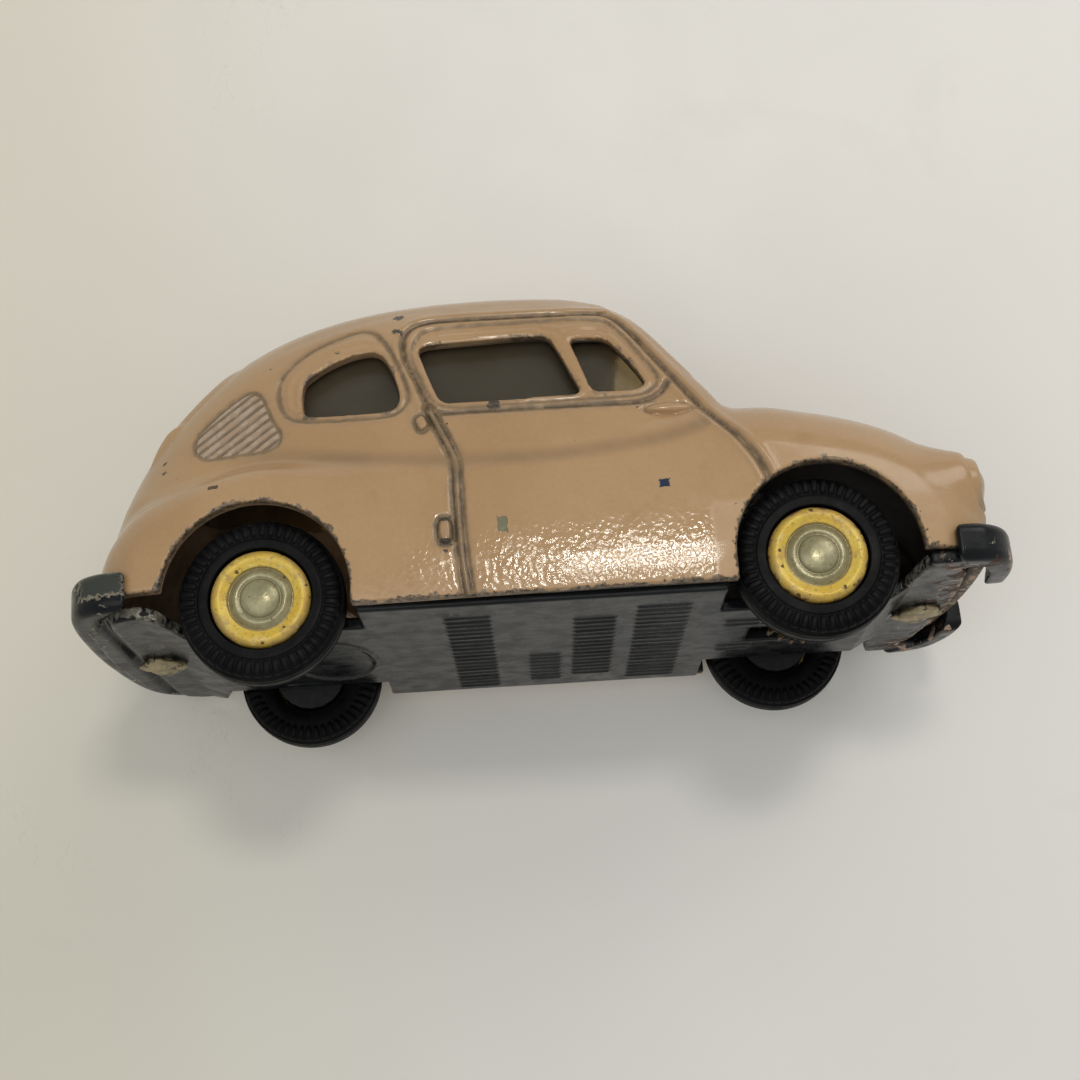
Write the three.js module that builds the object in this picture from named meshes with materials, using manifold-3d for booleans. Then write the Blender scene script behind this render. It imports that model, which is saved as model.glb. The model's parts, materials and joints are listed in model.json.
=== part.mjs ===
// A die-cast friction toy microcar: shell, base with bumpers, glazing, wheels and flywheel motor.
// Millimetres. +X is the front, +Y the left side, +Z up; the tyres stand on z = 0.
import * as THREE from 'three';
import { ParametricGeometry } from 'three/addons/geometries/ParametricGeometry.js';
import { mergeVertices } from 'three/addons/utils/BufferGeometryUtils.js';
import Module from 'manifold-3d';

const wasm = await Module();
wasm.setup();

// ---------------------------------------------------------------- driving dimensions
const WHEELBASE = 42;
const TRACK = 25.8;
const FRONT_X = WHEELBASE / 2;
const REAR_X = -WHEELBASE / 2;

const TYRE_RADIUS = 6.29;
const TYRE_WIDTH = 3.2;
const TYRE_BEAD_RADIUS = 3.2;
const DISC_RADIUS = 3.77;
const DISC_SEAT = 0.12;
const DISC_THICKNESS = 0.3;
const CORE_RADIUS = 3.05;
const AXLE_RADIUS = 0.8;
const AXLE_Z = TYRE_RADIUS;
const BORE_CLEARANCE = 0.07;
const GAP = 0.3;

const WALL = 1.3;
const HALF_WIDTH = 16.35;
const SILL_Z = 4.7;
const ARCH_RADIUS = 7.2;
const FRONT_ARCH = [21.9, 6.15];
const REAR_ARCH = [-21.3, 6.4];
const TAIL_SKIRT_Z = 6.9;
const NOSE_SKIRT_Z = 6.1;
const SKIRT_STEP_X = 27;
const SECTION_CENTRE_Z = 10;
// Cutting tools run past the body: this far along, to each side and up.
const PAST_END = 42;
const PAST_SIDE = 20;
const PAST_ROOF = 40;
const WINDOW_CUT_Y = 8;
const WINDSCREEN_CUT_X = 4;
const REAR_WINDOW_CUT_X = -16;

const BASE_Z = 4.3;
const BASE_THICKNESS = 1;
const BASE_TILT = 0.02;
const BASE_TAIL_Z = 5.55;
const BASE_NOSE_Z = 4.9;
const PEEN_THICKNESS = 0.8;
const POST_RADIUS = 1.2;
const POST_HEAD_RADIUS = 1.9;
const POSTS_X = [-31.5, 31.3];
const POST_TOPS_Z = [18.5, 16];

const GLAZING_GAP = 0.9;
const GLAZING_WALL = 0.7;
const GLAZING_FLOOR_Z = 19.4;

const GEAR_MODULE = 0.3;
const WHEEL_TEETH = 22;
const PINION_TEETH = 8;
const GEAR_WIDTH = 1.2;
const GEAR_BACKLASH = 0.07;
const TRAIN_ANGLE = THREE.MathUtils.degToRad(145);
const SHAFT_RADIUS = 0.6;
const FLYWHEEL_RADIUS = 5.4;
const FLYWHEEL_WIDTH = 3.6;
const MOTOR_PLATE_Y = 3.1;
const MOTOR_PLATE_THICKNESS = 0.7;

// Upper volume on the centreline: tail, fastback, roof and windscreen, up to the cowl.
const UPPER_OUTLINE = [
  [-34.4, 2], [-34.9, 7], [-34.9, 10.5], [-34.2, 13.6], [-33, 17], [-31.4, 20.4], [-29.4, 23.6],
  [-26.6, 26.8], [-23, 29.5], [-18.5, 31.5], [-13, 32.7], [-6, 33.2], [0, 33.1], [4.5, 32.6], [7.2, 31.5],
  [8.7, 29.9], [12.1, 25.4], [15.5, 20.9], [16.8, 17], [16.8, 2],
];
// Lower volume on the centreline: tail, rear deck, the belt hidden in the cabin, bonnet and nose.
const LOWER_OUTLINE = [
  [-34.5, 2], [-34.9, 7], [-34.9, 10], [-33.9, 13], [-31.6, 15.6], [-27.5, 17.4], [-22, 18.2], [-14, 17.5],
  [-4, 17.3], [6, 18.2], [13, 20.1], [18.5, 20.5], [22.5, 19.8], [26.5, 18.8], [30, 17.4], [33, 15.3],
  [35.2, 12.6], [36, 10], [35.8, 7], [35.3, 5], [35, 2],
];

// ---------------------------------------------------------------- solids
const degenerate = (a, b, c) => a === b || b === c || c === a;

function toSolid(geometry) {
  const bare = geometry.clone();
  bare.deleteAttribute('normal');
  bare.deleteAttribute('uv');
  const merged = mergeVertices(bare, 1e-4);
  const corners = [];
  for (let i = 0; i < merged.index.count; i += 3) {
    const triangle = [merged.index.getX(i), merged.index.getX(i + 1), merged.index.getX(i + 2)];
    if (!degenerate(...triangle)) corners.push(...triangle);
  }
  const solid = new wasm.Manifold(new wasm.Mesh({
    numProp: 3,
    vertProperties: new Float32Array(merged.attributes.position.array),
    triVerts: new Uint32Array(corners),
  }));
  if (solid.volume() < 0) throw new Error('a surface is inside out');
  return solid;
}

function toGeometry(solid) {
  const mesh = solid.getMesh();
  const geometry = new THREE.BufferGeometry();
  geometry.setAttribute('position', new THREE.BufferAttribute(new Float32Array(mesh.vertProperties), 3));
  geometry.setIndex(new THREE.BufferAttribute(new Uint32Array(mesh.triVerts), 1));
  const faceted = geometry.toNonIndexed();
  faceted.computeVertexNormals();
  return faceted;
}

const joined = (first, ...others) => others.reduce((sum, next) => sum.add(next), first);
const cut = (first, ...others) => others.reduce((rest, next) => rest.subtract(next), first);

const shapeFrom = (points) => new THREE.Shape(points.map(([x, y]) => new THREE.Vector2(x, y)));

// A plan outline (x, y) raised from z = low to z = high.
function planSolid(points, low, high) {
  const geometry = new THREE.ExtrudeGeometry(shapeFrom(points), { depth: high - low, bevelEnabled: false });
  return toSolid(geometry.translate(0, 0, low));
}

// A side-view outline (x, z) carried across from y = right to y = left.
function sideSolid(points, right, left, curveSegments = 12) {
  const shape = Array.isArray(points) ? shapeFrom(points) : points;
  const options = { depth: left - right, bevelEnabled: false, curveSegments };
  const geometry = new THREE.ExtrudeGeometry(shape, options);
  return toSolid(geometry.rotateX(Math.PI / 2).translate(0, left, 0));
}

// A front-view outline (y, z) carried along from x = back to x = front.
function frontSolid(points, back, front) {
  const shape = Array.isArray(points) ? shapeFrom(points) : points;
  const options = { depth: front - back, bevelEnabled: false, curveSegments: 6 };
  const geometry = new THREE.ExtrudeGeometry(shape, options);
  return toSolid(geometry.rotateX(Math.PI / 2).rotateZ(Math.PI / 2).translate(back, 0, 0));
}

// A cylinder lying along Y, centred at (x, y, z).
function crossRod(radius, length, x, y, z, sides = 24) {
  return new THREE.CylinderGeometry(radius, radius, length, sides).translate(x, y, z);
}

function uprightRod(radius, low, high, x, y, sides = 24) {
  const geometry = new THREE.CylinderGeometry(radius, radius, high - low, sides).rotateX(Math.PI / 2);
  return geometry.translate(x, y, (low + high) / 2);
}

// A profile of [radius, offset along the axle] turned about Y.
function turned(profile, segments) {
  const points = [...profile, profile[0]].map(([radius, along]) => new THREE.Vector2(radius, along));
  return new THREE.LatheGeometry(points, segments);
}

// ---------------------------------------------------------------- the body's shape as a signed distance
const smoothstep = THREE.MathUtils.smoothstep;
const lerp = THREE.MathUtils.lerp;

function roundedMax(a, b, radius) {
  return Math.min(Math.max(a, b), -radius) + Math.hypot(Math.max(a + radius, 0), Math.max(b + radius, 0));
}
const roundedMin = (a, b, radius) => -roundedMax(-a, -b, radius);

function outlinePolygon(points) {
  const curve = new THREE.SplineCurve(points.map(([x, z]) => new THREE.Vector2(x, z)));
  return curve.getPoints(5 * points.length);
}

// Signed distance from (x, z) to a closed polygon, negative inside.
function polygonDistance(polygon, x, z) {
  let nearest = Infinity;
  let inside = false;
  for (let i = 0, j = polygon.length - 1; i < polygon.length; j = i, i += 1) {
    const a = polygon[j];
    const b = polygon[i];
    const ex = b.x - a.x;
    const ez = b.y - a.y;
    const along = THREE.MathUtils.clamp(((x - a.x) * ex + (z - a.y) * ez) / (ex * ex + ez * ez), 0, 1);
    nearest = Math.min(nearest, Math.hypot(x - a.x - along * ex, z - a.y - along * ez));
    if ((a.y > z) !== (b.y > z) && x < a.x + ((z - a.y) / ez) * ex) inside = !inside;
  }
  return inside ? -nearest : nearest;
}

const upperPolygon = outlinePolygon(UPPER_OUTLINE);
const lowerPolygon = outlinePolygon(LOWER_OUTLINE);

// The nose and tail sweep back towards the sides, and the top falls away from the centreline.
const PLAN_SWEEP = 0.008;
const CROWN = 0.0065;
const HALF_LENGTH = 37;
const END_TAPER = 3.2;
const WIDEST_Z = 8.5;
const TUMBLEHOME = 0.011;
const SILL_TUCK = 0.012;
const BELT_Z = 16;
const BELT_HALF_WIDTH = 15.45;
const CABIN_LEAN = 0.27;
const TAIL_TAPER = 3.4;
const COWL_TAPER = 0.9;
const BELT_FILLET = 0.8;
const LAMP_FILLET = 1.2;
const LAMP = { x: 31.6, y: 10.9, z: 11.9, length: 4.3, radius: 2.95 };

function sweptX(x, y) {
  return x + Math.sign(x) * PLAN_SWEEP * y * y * smoothstep(Math.abs(x), 8, 34);
}

// The lower body is widest at WIDEST_Z and narrows to both ends, to the belt and to the sill.
function lowerHalfWidth(x, z) {
  const taper = END_TAPER * (Math.abs(x) / HALF_LENGTH) ** 4;
  const tumble = TUMBLEHOME * Math.max(z - WIDEST_Z, 0) ** 2;
  const tuck = SILL_TUCK * Math.max(WIDEST_Z - z, 0) ** 2;
  return HALF_WIDTH - taper - tumble - tuck;
}

// The cabin leans in from the belt, and narrows towards the tail and a little towards the cowl.
function upperHalfWidth(x, z) {
  const taper = TAIL_TAPER * smoothstep(-x, 6, 36) + COWL_TAPER * smoothstep(x, 4, 18);
  return BELT_HALF_WIDTH - CABIN_LEAN * Math.max(z - BELT_Z, 0) - taper;
}

function bodyDistance(x, y, z) {
  const side = Math.abs(y);
  const sweep = sweptX(x, y);
  const crowned = z + CROWN * y * y;
  const shoulder = lerp(1.6, 4, smoothstep(x, 10, 18)) + 1.4 * smoothstep(-x, 18, 28);
  const lowerEdge = polygonDistance(lowerPolygon, sweep, crowned);
  const lower = roundedMax(side - lowerHalfWidth(x, z), lowerEdge, shoulder);
  // The roof's edge is soft, and tightens ahead into the windscreen pillars.
  const roofEdge = lerp(5, 1.8, smoothstep(x, 5, 11));
  const upperEdge = polygonDistance(upperPolygon, sweep, crowned);
  const upper = roundedMax(side - upperHalfWidth(x, z), upperEdge, roofEdge);
  const lampRadial = Math.hypot(side - LAMP.y, z - LAMP.z) / LAMP.radius;
  const lamp = (Math.hypot((x - LAMP.x) / LAMP.length, lampRadial) - 1) * LAMP.radius;
  return roundedMin(roundedMin(lower, upper, BELT_FILLET), lamp, LAMP_FILLET);
}

// Distance along a ray in the plane x = const to the surface lying `inset` inside the body.
function sectionReach(x, dirY, dirZ, inset) {
  let low = 0;
  let high = 40;
  for (let i = 0; i < 26; i += 1) {
    const mid = (low + high) / 2;
    const inside = bodyDistance(x, mid * dirY, SECTION_CENTRE_Z + mid * dirZ) < -inset;
    if (inside) low = mid;
    else high = mid;
  }
  return low;
}

// The x where the surface `inset` inside the body crosses the section centre line, front or rear.
function endOf(sign, inset) {
  let low = 0;
  let high = 45;
  for (let i = 0; i < 30; i += 1) {
    const mid = (low + high) / 2;
    if (bodyDistance(sign * mid, 0, SECTION_CENTRE_Z) < -inset) low = mid;
    else high = mid;
  }
  return sign * low;
}

// A closed solid: the body's volume shrunk by `inset`, with no openings.
function bodySolid(inset, around, stations) {
  const rear = endOf(-1, inset);
  const front = endOf(1, inset);
  const surface = (u, v, target) => {
    const spread = 0.5 - 0.5 * Math.cos(Math.PI * v);
    const x = lerp(rear, front, lerp(v, spread, 0.75));
    const angle = 2 * Math.PI * u;
    const dirY = Math.cos(angle);
    const dirZ = Math.sin(angle);
    const pole = v < 1e-6 || v > 1 - 1e-6;
    const reach = pole ? 0 : sectionReach(x, dirY, dirZ, inset);
    target.set(x, reach * dirY, SECTION_CENTRE_Z + reach * dirZ);
  };
  return toSolid(new ParametricGeometry(surface, around, stations));
}

// ---------------------------------------------------------------- body shell
const REAR_SIDE_WINDOW = [
  [-17.4, 20.9], [-10.8, 20.8], [-9.7, 21.9], [-11.3, 26.2], [-12.2, 26.6], [-17.5, 23.8],
];
const DOOR_WINDOW = [[-6.9, 21.3], [4.3, 21.0], [1.9, 26.7], [-6.7, 26.9], [-8.2, 26.4]];
const FRONT_SIDE_WINDOW = [[5.5, 21.2], [8.5, 21.0], [9.6, 21.8], [6.8, 26.1], [3.4, 26.3]];
const WINDSCREEN = [[-10.6, 22], [10.6, 22], [9.2, 29.2], [-9.2, 29.2]];
const REAR_WINDOW = [[-7.6, 22.5], [7.6, 22.5], [6.6, 28.3], [-6.6, 28.3]];

function archSolid([x, z]) {
  const circle = new THREE.Shape().absarc(x, z, ARCH_RADIUS, 0, 2 * Math.PI);
  const below = planSolid([[x - ARCH_RADIUS, -PAST_SIDE], [x + ARCH_RADIUS, -PAST_SIDE],
    [x + ARCH_RADIUS, PAST_SIDE], [x - ARCH_RADIUS, PAST_SIDE]], 0, z);
  return joined(sideSolid(circle, -PAST_SIDE, PAST_SIDE, 18), below);
}

// The side-view region that the casting fills: above the sill and above both end skirts.
function skirtSolid() {
  const sill = (x) => [x, SILL_Z - 0.015 * x];
  return sideSolid([[-PAST_END, TAIL_SKIRT_Z], [-SKIRT_STEP_X, TAIL_SKIRT_Z], sill(-SKIRT_STEP_X),
    sill(SKIRT_STEP_X), [SKIRT_STEP_X, NOSE_SKIRT_Z], [PAST_END, NOSE_SKIRT_Z], [PAST_END, PAST_ROOF],
    [-PAST_END, PAST_ROOF]], -PAST_SIDE, PAST_SIDE);
}

// A cast post from the shell's deck down through the base, with its end peened over.
function postSolid(x, headTop, deck) {
  const foot = headTop - PEEN_THICKNESS;
  const stem = toSolid(uprightRod(POST_RADIUS, foot + PEEN_THICKNESS / 2, deck, x, 0));
  const head = toSolid(uprightRod(POST_HEAD_RADIUS, foot, headTop, x, 0));
  return joined(stem, head);
}

function bodyShell() {
  const outer = bodySolid(0, 60, 44);
  const inner = bodySolid(WALL, 34, 28);
  const sideWindows = [REAR_SIDE_WINDOW, DOOR_WINDOW, FRONT_SIDE_WINDOW].flatMap((outline) => [
    sideSolid(outline, -PAST_SIDE, -WINDOW_CUT_Y), sideSolid(outline, WINDOW_CUT_Y, PAST_SIDE)]);
  const endWindows = [frontSolid(WINDSCREEN, WINDSCREEN_CUT_X, PAST_END),
    frontSolid(REAR_WINDOW, -PAST_END, REAR_WINDOW_CUT_X)];
  const shell = cut(outer.intersect(skirtSolid()), inner, archSolid(FRONT_ARCH), archSolid(REAR_ARCH),
    ...sideWindows, ...endWindows);
  const rearPost = postSolid(POSTS_X[0], BASE_TAIL_Z - GAP, POST_TOPS_Z[0]);
  const frontPost = postSolid(POSTS_X[1], BASE_NOSE_Z - GAP, POST_TOPS_Z[1]);
  return toGeometry(joined(shell, rearPost, frontPost));
}

// ---------------------------------------------------------------- glazing
function windowGlazing() {
  const outer = bodySolid(WALL + GLAZING_GAP, 30, 24);
  const inner = bodySolid(WALL + GLAZING_GAP + GLAZING_WALL, 30, 24);
  const keep = planSolid([[-PAST_END, -PAST_SIDE], [PAST_SIDE, -PAST_SIDE], [PAST_SIDE, PAST_SIDE],
    [-PAST_END, PAST_SIDE]], GLAZING_FLOOR_Z, PAST_ROOF);
  return toGeometry(outer.subtract(inner).intersect(keep));
}

// ---------------------------------------------------------------- base with both bumpers
const WAIST_HALF = 14.6;
const REAR_BAY_HALF = 9.6;
const FRONT_BAY_HALF = 8.3;
const MOTOR_OPENING = { back: 17, front: 25, half: 2.3 };
const LUG = { length: 3.4, width: 1.1, height: 3.7 };
const LUG_Z = 6.5;
const REAR_LUG_Y = 8.6;
const FRONT_LUG_Y = 7.4;
const BAR = { length: 2.4, width: 0.6, depth: 0.5 };
const BAR_PITCH = 2.1;
const BAR_ROWS = [[-5.2, 9], [4.4, 8], [9.6, 8]];
const BUMPER_DEPTH = 2.4;
const BUMPER_BEVEL = 0.45;
const REAR_BUMPER_Z = [6.0, 9.2];
const FRONT_BUMPER_Z = [4.7, 7.7];

// The base's plan outline on its right side, from the tail to the nose; the left side mirrors it.
const BASE_PLAN = [
  [-35.6, 0], [-35, -9.6], [-33.4, -12.8], [-31, -14], [-28.9, -14],
  [-27.6, -REAR_BAY_HALF], [-13.9, -REAR_BAY_HALF], [-13.9, -WAIST_HALF],
  [14, -WAIST_HALF], [14, -FRONT_BAY_HALF], [28.6, -FRONT_BAY_HALF], [29.3, -13.4],
  [31.4, -13], [33, -10.4], [33.6, -5], [33.8, 0],
];
const REAR_BUMPER_PATH = [[-31, 15.2], [-33.4, 14.9], [-35.3, 13.2], [-36.4, 9], [-36.9, 0], [-36.4, -9],
  [-35.3, -13.2], [-33.4, -14.9], [-31, -15.2]];
const FRONT_BUMPER_PATH = [[31.4, -15.3], [33.8, -14.9], [35.7, -13.2], [36.7, -10], [36.9, -7]];
const BUMPER_ARM = [[29.5, -12.2], [32.4, -11.8], [34, -12.6], [33.2, -14.2], [29.5, -14.2]];

const underside = (x) => BASE_Z - BASE_TILT * x;
const mirrorPlan = (points) => points.slice().reverse().map(([x, y]) => [x, -y]);

// The base in side view: level with the sills amidships, stepped up at both ends.
function baseBand() {
  const bottom = [[-PAST_END, BASE_TAIL_Z], [-30.2, BASE_TAIL_Z], [-27.6, underside(-27.6)],
    [27, underside(27)], [29.2, BASE_NOSE_Z], [PAST_END, BASE_NOSE_Z]];
  const top = bottom.map(([x, z]) => [x, z + BASE_THICKNESS]).reverse();
  return sideSolid([...bottom, ...top], -PAST_SIDE, PAST_SIDE);
}

// A bumper is a bar of constant depth that follows an arc in plan, with its edges eased.
function bumperSolid(path, [low, high]) {
  const curve = new THREE.SplineCurve(path.map(([x, y]) => new THREE.Vector2(x, y)));
  const steps = 3 * (path.length - 1);
  const stations = Array.from({ length: steps + 1 }, (_, i) => i / steps);
  const outside = stations.map((t) => curve.getPoint(t));
  const inside = stations.map((t, i) => {
    const tangent = curve.getTangent(t);
    const inward = new THREE.Vector2(-tangent.y, tangent.x);
    return inward.multiplyScalar(BUMPER_DEPTH).add(outside[i]);
  });
  const geometry = new THREE.ExtrudeGeometry(new THREE.Shape([...outside, ...inside.reverse()]), {
    depth: high - low - 2 * BUMPER_BEVEL,
    bevelThickness: BUMPER_BEVEL,
    bevelSize: BUMPER_BEVEL,
    bevelOffset: -BUMPER_BEVEL,
    bevelSegments: 1,
  });
  return toSolid(geometry.translate(0, 0, low + BUMPER_BEVEL));
}

function axleLugs(x, y) {
  return [-y, y].map((centre) => (
    toSolid(new THREE.BoxGeometry(LUG.length, LUG.width, LUG.height).translate(x, centre, LUG_Z))));
}

// Plain cast bars across the underside, in rows.
function raisedBars() {
  return BAR_ROWS.flatMap(([x, count]) => Array.from({ length: count }, (_, i) => {
    const y = (i - (count - 1) / 2) * BAR_PITCH;
    return toSolid(new THREE.BoxGeometry(BAR.length, BAR.width, BAR.depth).translate(x, y, underside(x)));
  }));
}

function axleBore(x) {
  return toSolid(crossRod(AXLE_RADIUS + BORE_CLEARANCE, 2 * PAST_SIDE, x, 0, AXLE_Z));
}

function basePlate() {
  const plate = planSolid([...BASE_PLAN, ...mirrorPlan(BASE_PLAN)], 0, PAST_SIDE).intersect(baseBand());
  const bumpers = joined(bumperSolid(REAR_BUMPER_PATH, REAR_BUMPER_Z),
    bumperSolid(FRONT_BUMPER_PATH, FRONT_BUMPER_Z),
    bumperSolid(mirrorPlan(FRONT_BUMPER_PATH), FRONT_BUMPER_Z));
  const clearOfShell = bumpers.subtract(bodySolid(-GAP, 48, 36));
  const arms = [BUMPER_ARM, mirrorPlan(BUMPER_ARM)].map((outline) => (
    planSolid(outline, BASE_NOSE_Z, BASE_NOSE_Z + BASE_THICKNESS)));
  const { back, front, half } = MOTOR_OPENING;
  const opening = planSolid([[back, -half], [front, -half], [front, half], [back, half]], 0, PAST_SIDE);
  const postHoles = POSTS_X.map((x) => toSolid(uprightRod(POST_RADIUS + GAP, 0, PAST_SIDE, x, 0)));
  const bores = [REAR_X, FRONT_X].map(axleBore);
  const solid = joined(plate, clearOfShell, ...arms, ...axleLugs(REAR_X, REAR_LUG_Y),
    ...axleLugs(FRONT_X, FRONT_LUG_Y), ...raisedBars());
  return toGeometry(cut(solid, opening, ...postHoles, ...bores));
}

// ---------------------------------------------------------------- wheels
// Profiles are [radius, distance out from the tyre's middle].
const HALF_TYRE = TYRE_WIDTH / 2;
const SEAT = HALF_TYRE - 0.8;
const TYRE_PROFILE = [
  [TYRE_BEAD_RADIUS, -HALF_TYRE + 0.3], [3.9, -HALF_TYRE], [5.6, -HALF_TYRE], [TYRE_RADIUS, -0.9],
  [TYRE_RADIUS, 0.9], [5.6, HALF_TYRE], [DISC_RADIUS + DISC_SEAT, HALF_TYRE],
  [DISC_RADIUS + DISC_SEAT, SEAT], [TYRE_BEAD_RADIUS, SEAT],
];
const DISC_FACE = [
  [0, 2.1], [0.9, 2.0], [1.5, 1.6], [2.35, 1.45], [2.55, 1.65], [3.3, 1.72], [DISC_RADIUS, 1.35],
];
const CORE_PROFILE = [[AXLE_RADIUS + BORE_CLEARANCE, -1.3], [CORE_RADIUS, -1.3], [CORE_RADIUS, 0.9],
  [AXLE_RADIUS + BORE_CLEARANCE, 0.9]];
const AXLE_HALF_LENGTH = TRACK / 2 + 0.8;

const tyre = () => turned(TYRE_PROFILE, 28);
const wheelCore = () => turned(CORE_PROFILE, 20);

function wheelDisc() {
  const back = DISC_FACE.map(([radius, out]) => [radius, out - DISC_THICKNESS]);
  const section = [...back, ...DISC_FACE.slice().reverse()];
  const points = section.map(([radius, out]) => new THREE.Vector2(radius, out));
  return new THREE.LatheGeometry(points, 18);
}

// ---------------------------------------------------------------- friction motor
const PITCH_RADIUS = { wheel: (GEAR_MODULE * WHEEL_TEETH) / 2, pinion: (GEAR_MODULE * PINION_TEETH) / 2 };
const CENTRES = PITCH_RADIUS.wheel + PITCH_RADIUS.pinion + GEAR_BACKLASH;
const SHAFT_FIT = 0.05;
const GEAR_Y = -1.1;
const SECOND_GEAR_Y = 0.9;
const FLYWHEEL_Y = 6.1;
const SHAFT_PROUD = 0.15;
const SHAFT_END = MOTOR_PLATE_Y + MOTOR_PLATE_THICKNESS + SHAFT_PROUD;
const LAYSHAFT = [FRONT_X + CENTRES * Math.cos(TRAIN_ANGLE), AXLE_Z + CENTRES * Math.sin(TRAIN_ANGLE)];
const FLY_SHAFT = [
  LAYSHAFT[0] + CENTRES * Math.cos(TRAIN_ANGLE),
  LAYSHAFT[1] + CENTRES * Math.sin(TRAIN_ANGLE),
];
const SPACER_RADIUS = 0.7;
const SPACERS = { upper: [17.6, 13.9], lower: [12.9, 7.2] };
const PLATE_OUTLINE = [[11.2, 5.5], [24.4, 5.2], [24.4, 8.2], [18.8, 15.2], [12.6, 15.2], [11.2, 13.4]];
const PLATE_FOOT = { back: 20, front: 24.4, reach: 1.5, thickness: 0.7, z: 5.3 };

// A spur gear about Y with straight-flanked teeth; `phase` is the angle of one tooth's middle.
function spurGear(teeth, width, boreRadius, phase) {
  const pitch = (GEAR_MODULE * teeth) / 2;
  const tip = pitch + 0.9 * GEAR_MODULE;
  const root = pitch - 1.15 * GEAR_MODULE;
  const step = (2 * Math.PI) / teeth;
  const shape = new THREE.Shape(Array.from({ length: teeth }, (_, i) => (
    [[root, -0.36], [tip, -0.11], [tip, 0.11], [root, 0.36]].map(([radius, share]) => {
      const angle = phase + step * (i + share);
      return new THREE.Vector2(radius * Math.cos(angle), radius * Math.sin(angle));
    }))).flat());
  shape.holes.push(new THREE.Path().absarc(0, 0, boreRadius, 0, 2 * Math.PI));
  const geometry = new THREE.ExtrudeGeometry(shape, { depth: width, bevelEnabled: false, curveSegments: 8 });
  return geometry.rotateX(Math.PI / 2).translate(0, width / 2, 0);
}

// The pinion's tooth that faces its driving gear is turned half a step, to fall between two teeth.
const wheelPhase = TRAIN_ANGLE;
const pinionPhase = TRAIN_ANGLE + Math.PI + Math.PI / PINION_TEETH;

function motorPlate(side) {
  const shape = shapeFrom(PLATE_OUTLINE);
  const hole = (radius, [x, z]) => shape.holes.push(new THREE.Path().absarc(x, z, radius, 0, 2 * Math.PI));
  hole(AXLE_RADIUS + BORE_CLEARANCE, [FRONT_X, AXLE_Z]);
  hole(SHAFT_RADIUS + BORE_CLEARANCE, LAYSHAFT);
  hole(SHAFT_RADIUS + BORE_CLEARANCE, FLY_SHAFT);
  Object.values(SPACERS).forEach((centre) => hole(SPACER_RADIUS + BORE_CLEARANCE, centre));
  const inner = side * MOTOR_PLATE_Y;
  const outer = side * (MOTOR_PLATE_Y + MOTOR_PLATE_THICKNESS);
  const plate = sideSolid(shape, Math.min(inner, outer), Math.max(inner, outer), 8);
  const { back, front, reach, thickness } = PLATE_FOOT;
  const toe = outer + side * reach;
  const footPlan = [[back, inner], [front, inner], [front, toe], [back, toe]];
  const foot = planSolid(side < 0 ? footPlan.reverse() : footPlan, PLATE_FOOT.z, PLATE_FOOT.z + thickness);
  return toGeometry(cut(joined(plate, foot), axleBore(FRONT_X)));
}

const FLYWHEEL_PROFILE = [
  [SHAFT_RADIUS + BORE_CLEARANCE, -1.2], [1.8, -1.2], [3.4, -0.7], [3.9, -1.8], [FLYWHEEL_RADIUS, -1.8],
  [FLYWHEEL_RADIUS, 1.8], [3.9, 1.8], [3.4, 0.7], [1.8, 1.2], [SHAFT_RADIUS + BORE_CLEARANCE, 1.2],
];

// ---------------------------------------------------------------- materials and assembly
const looks = {
  paint: { color: 0xc6a079, roughness: 0.35, metalness: 0 },
  basePaint: { color: 0x1c1f20, roughness: 0.4, metalness: 0 },
  glazing: { color: 0xd8dcd6, roughness: 0.1, metalness: 0, transparent: true, opacity: 0.35 },
  rubber: { color: 0x17181a, roughness: 0.75, metalness: 0 },
  tin: { color: 0xd9c48c, roughness: 0.35, metalness: 0.4 },
  hub: { color: 0x8b8d8a, roughness: 0.5, metalness: 0.8 },
  steel: { color: 0x9a9c9e, roughness: 0.35, metalness: 1 },
  brass: { color: 0xb5954f, roughness: 0.35, metalness: 1 },
  zinc: { color: 0x85878a, roughness: 0.5, metalness: 0.9 },
  plate: { color: 0x7d7f80, roughness: 0.45, metalness: 0.9 },
};

const car = new THREE.Group();

function place(name, geometry, look, [x, y, z] = [0, 0, 0], facing = 0) {
  const mesh = new THREE.Mesh(geometry, new THREE.MeshStandardMaterial(looks[look]));
  mesh.name = name;
  mesh.position.set(x, y, z);
  mesh.rotation.z = facing;
  car.add(mesh);
}

function placeWheel(name, x, side) {
  const centre = [x, (side * TRACK) / 2, AXLE_Z];
  const facing = side > 0 ? 0 : Math.PI;
  place(`tyre_${name}`, tyre(), 'rubber', centre, facing);
  place(`wheel_core_${name}`, wheelCore(), 'hub', centre, facing);
  place(`wheel_disc_${name}`, wheelDisc(), 'tin', centre, facing);
}

place('body_shell', bodyShell(), 'paint');
place('window_glazing', windowGlazing(), 'glazing');
place('base_plate', basePlate(), 'basePaint');

placeWheel('front_left', FRONT_X, 1);
placeWheel('front_right', FRONT_X, -1);
placeWheel('rear_left', REAR_X, 1);
placeWheel('rear_right', REAR_X, -1);
place('front_axle', crossRod(AXLE_RADIUS, 2 * AXLE_HALF_LENGTH, 0, 0, 0), 'steel', [FRONT_X, 0, AXLE_Z]);
place('rear_axle', crossRod(AXLE_RADIUS, 2 * AXLE_HALF_LENGTH, 0, 0, 0), 'steel', [REAR_X, 0, AXLE_Z]);

place('motor_plate_right', motorPlate(-1), 'plate');
place('motor_plate_left', motorPlate(1), 'plate');
Object.entries(SPACERS).forEach(([which, [x, z]]) => (
  place(`motor_spacer_${which}`, crossRod(SPACER_RADIUS, 2 * SHAFT_END, 0, 0, 0, 16), 'steel', [x, 0, z])));

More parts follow.
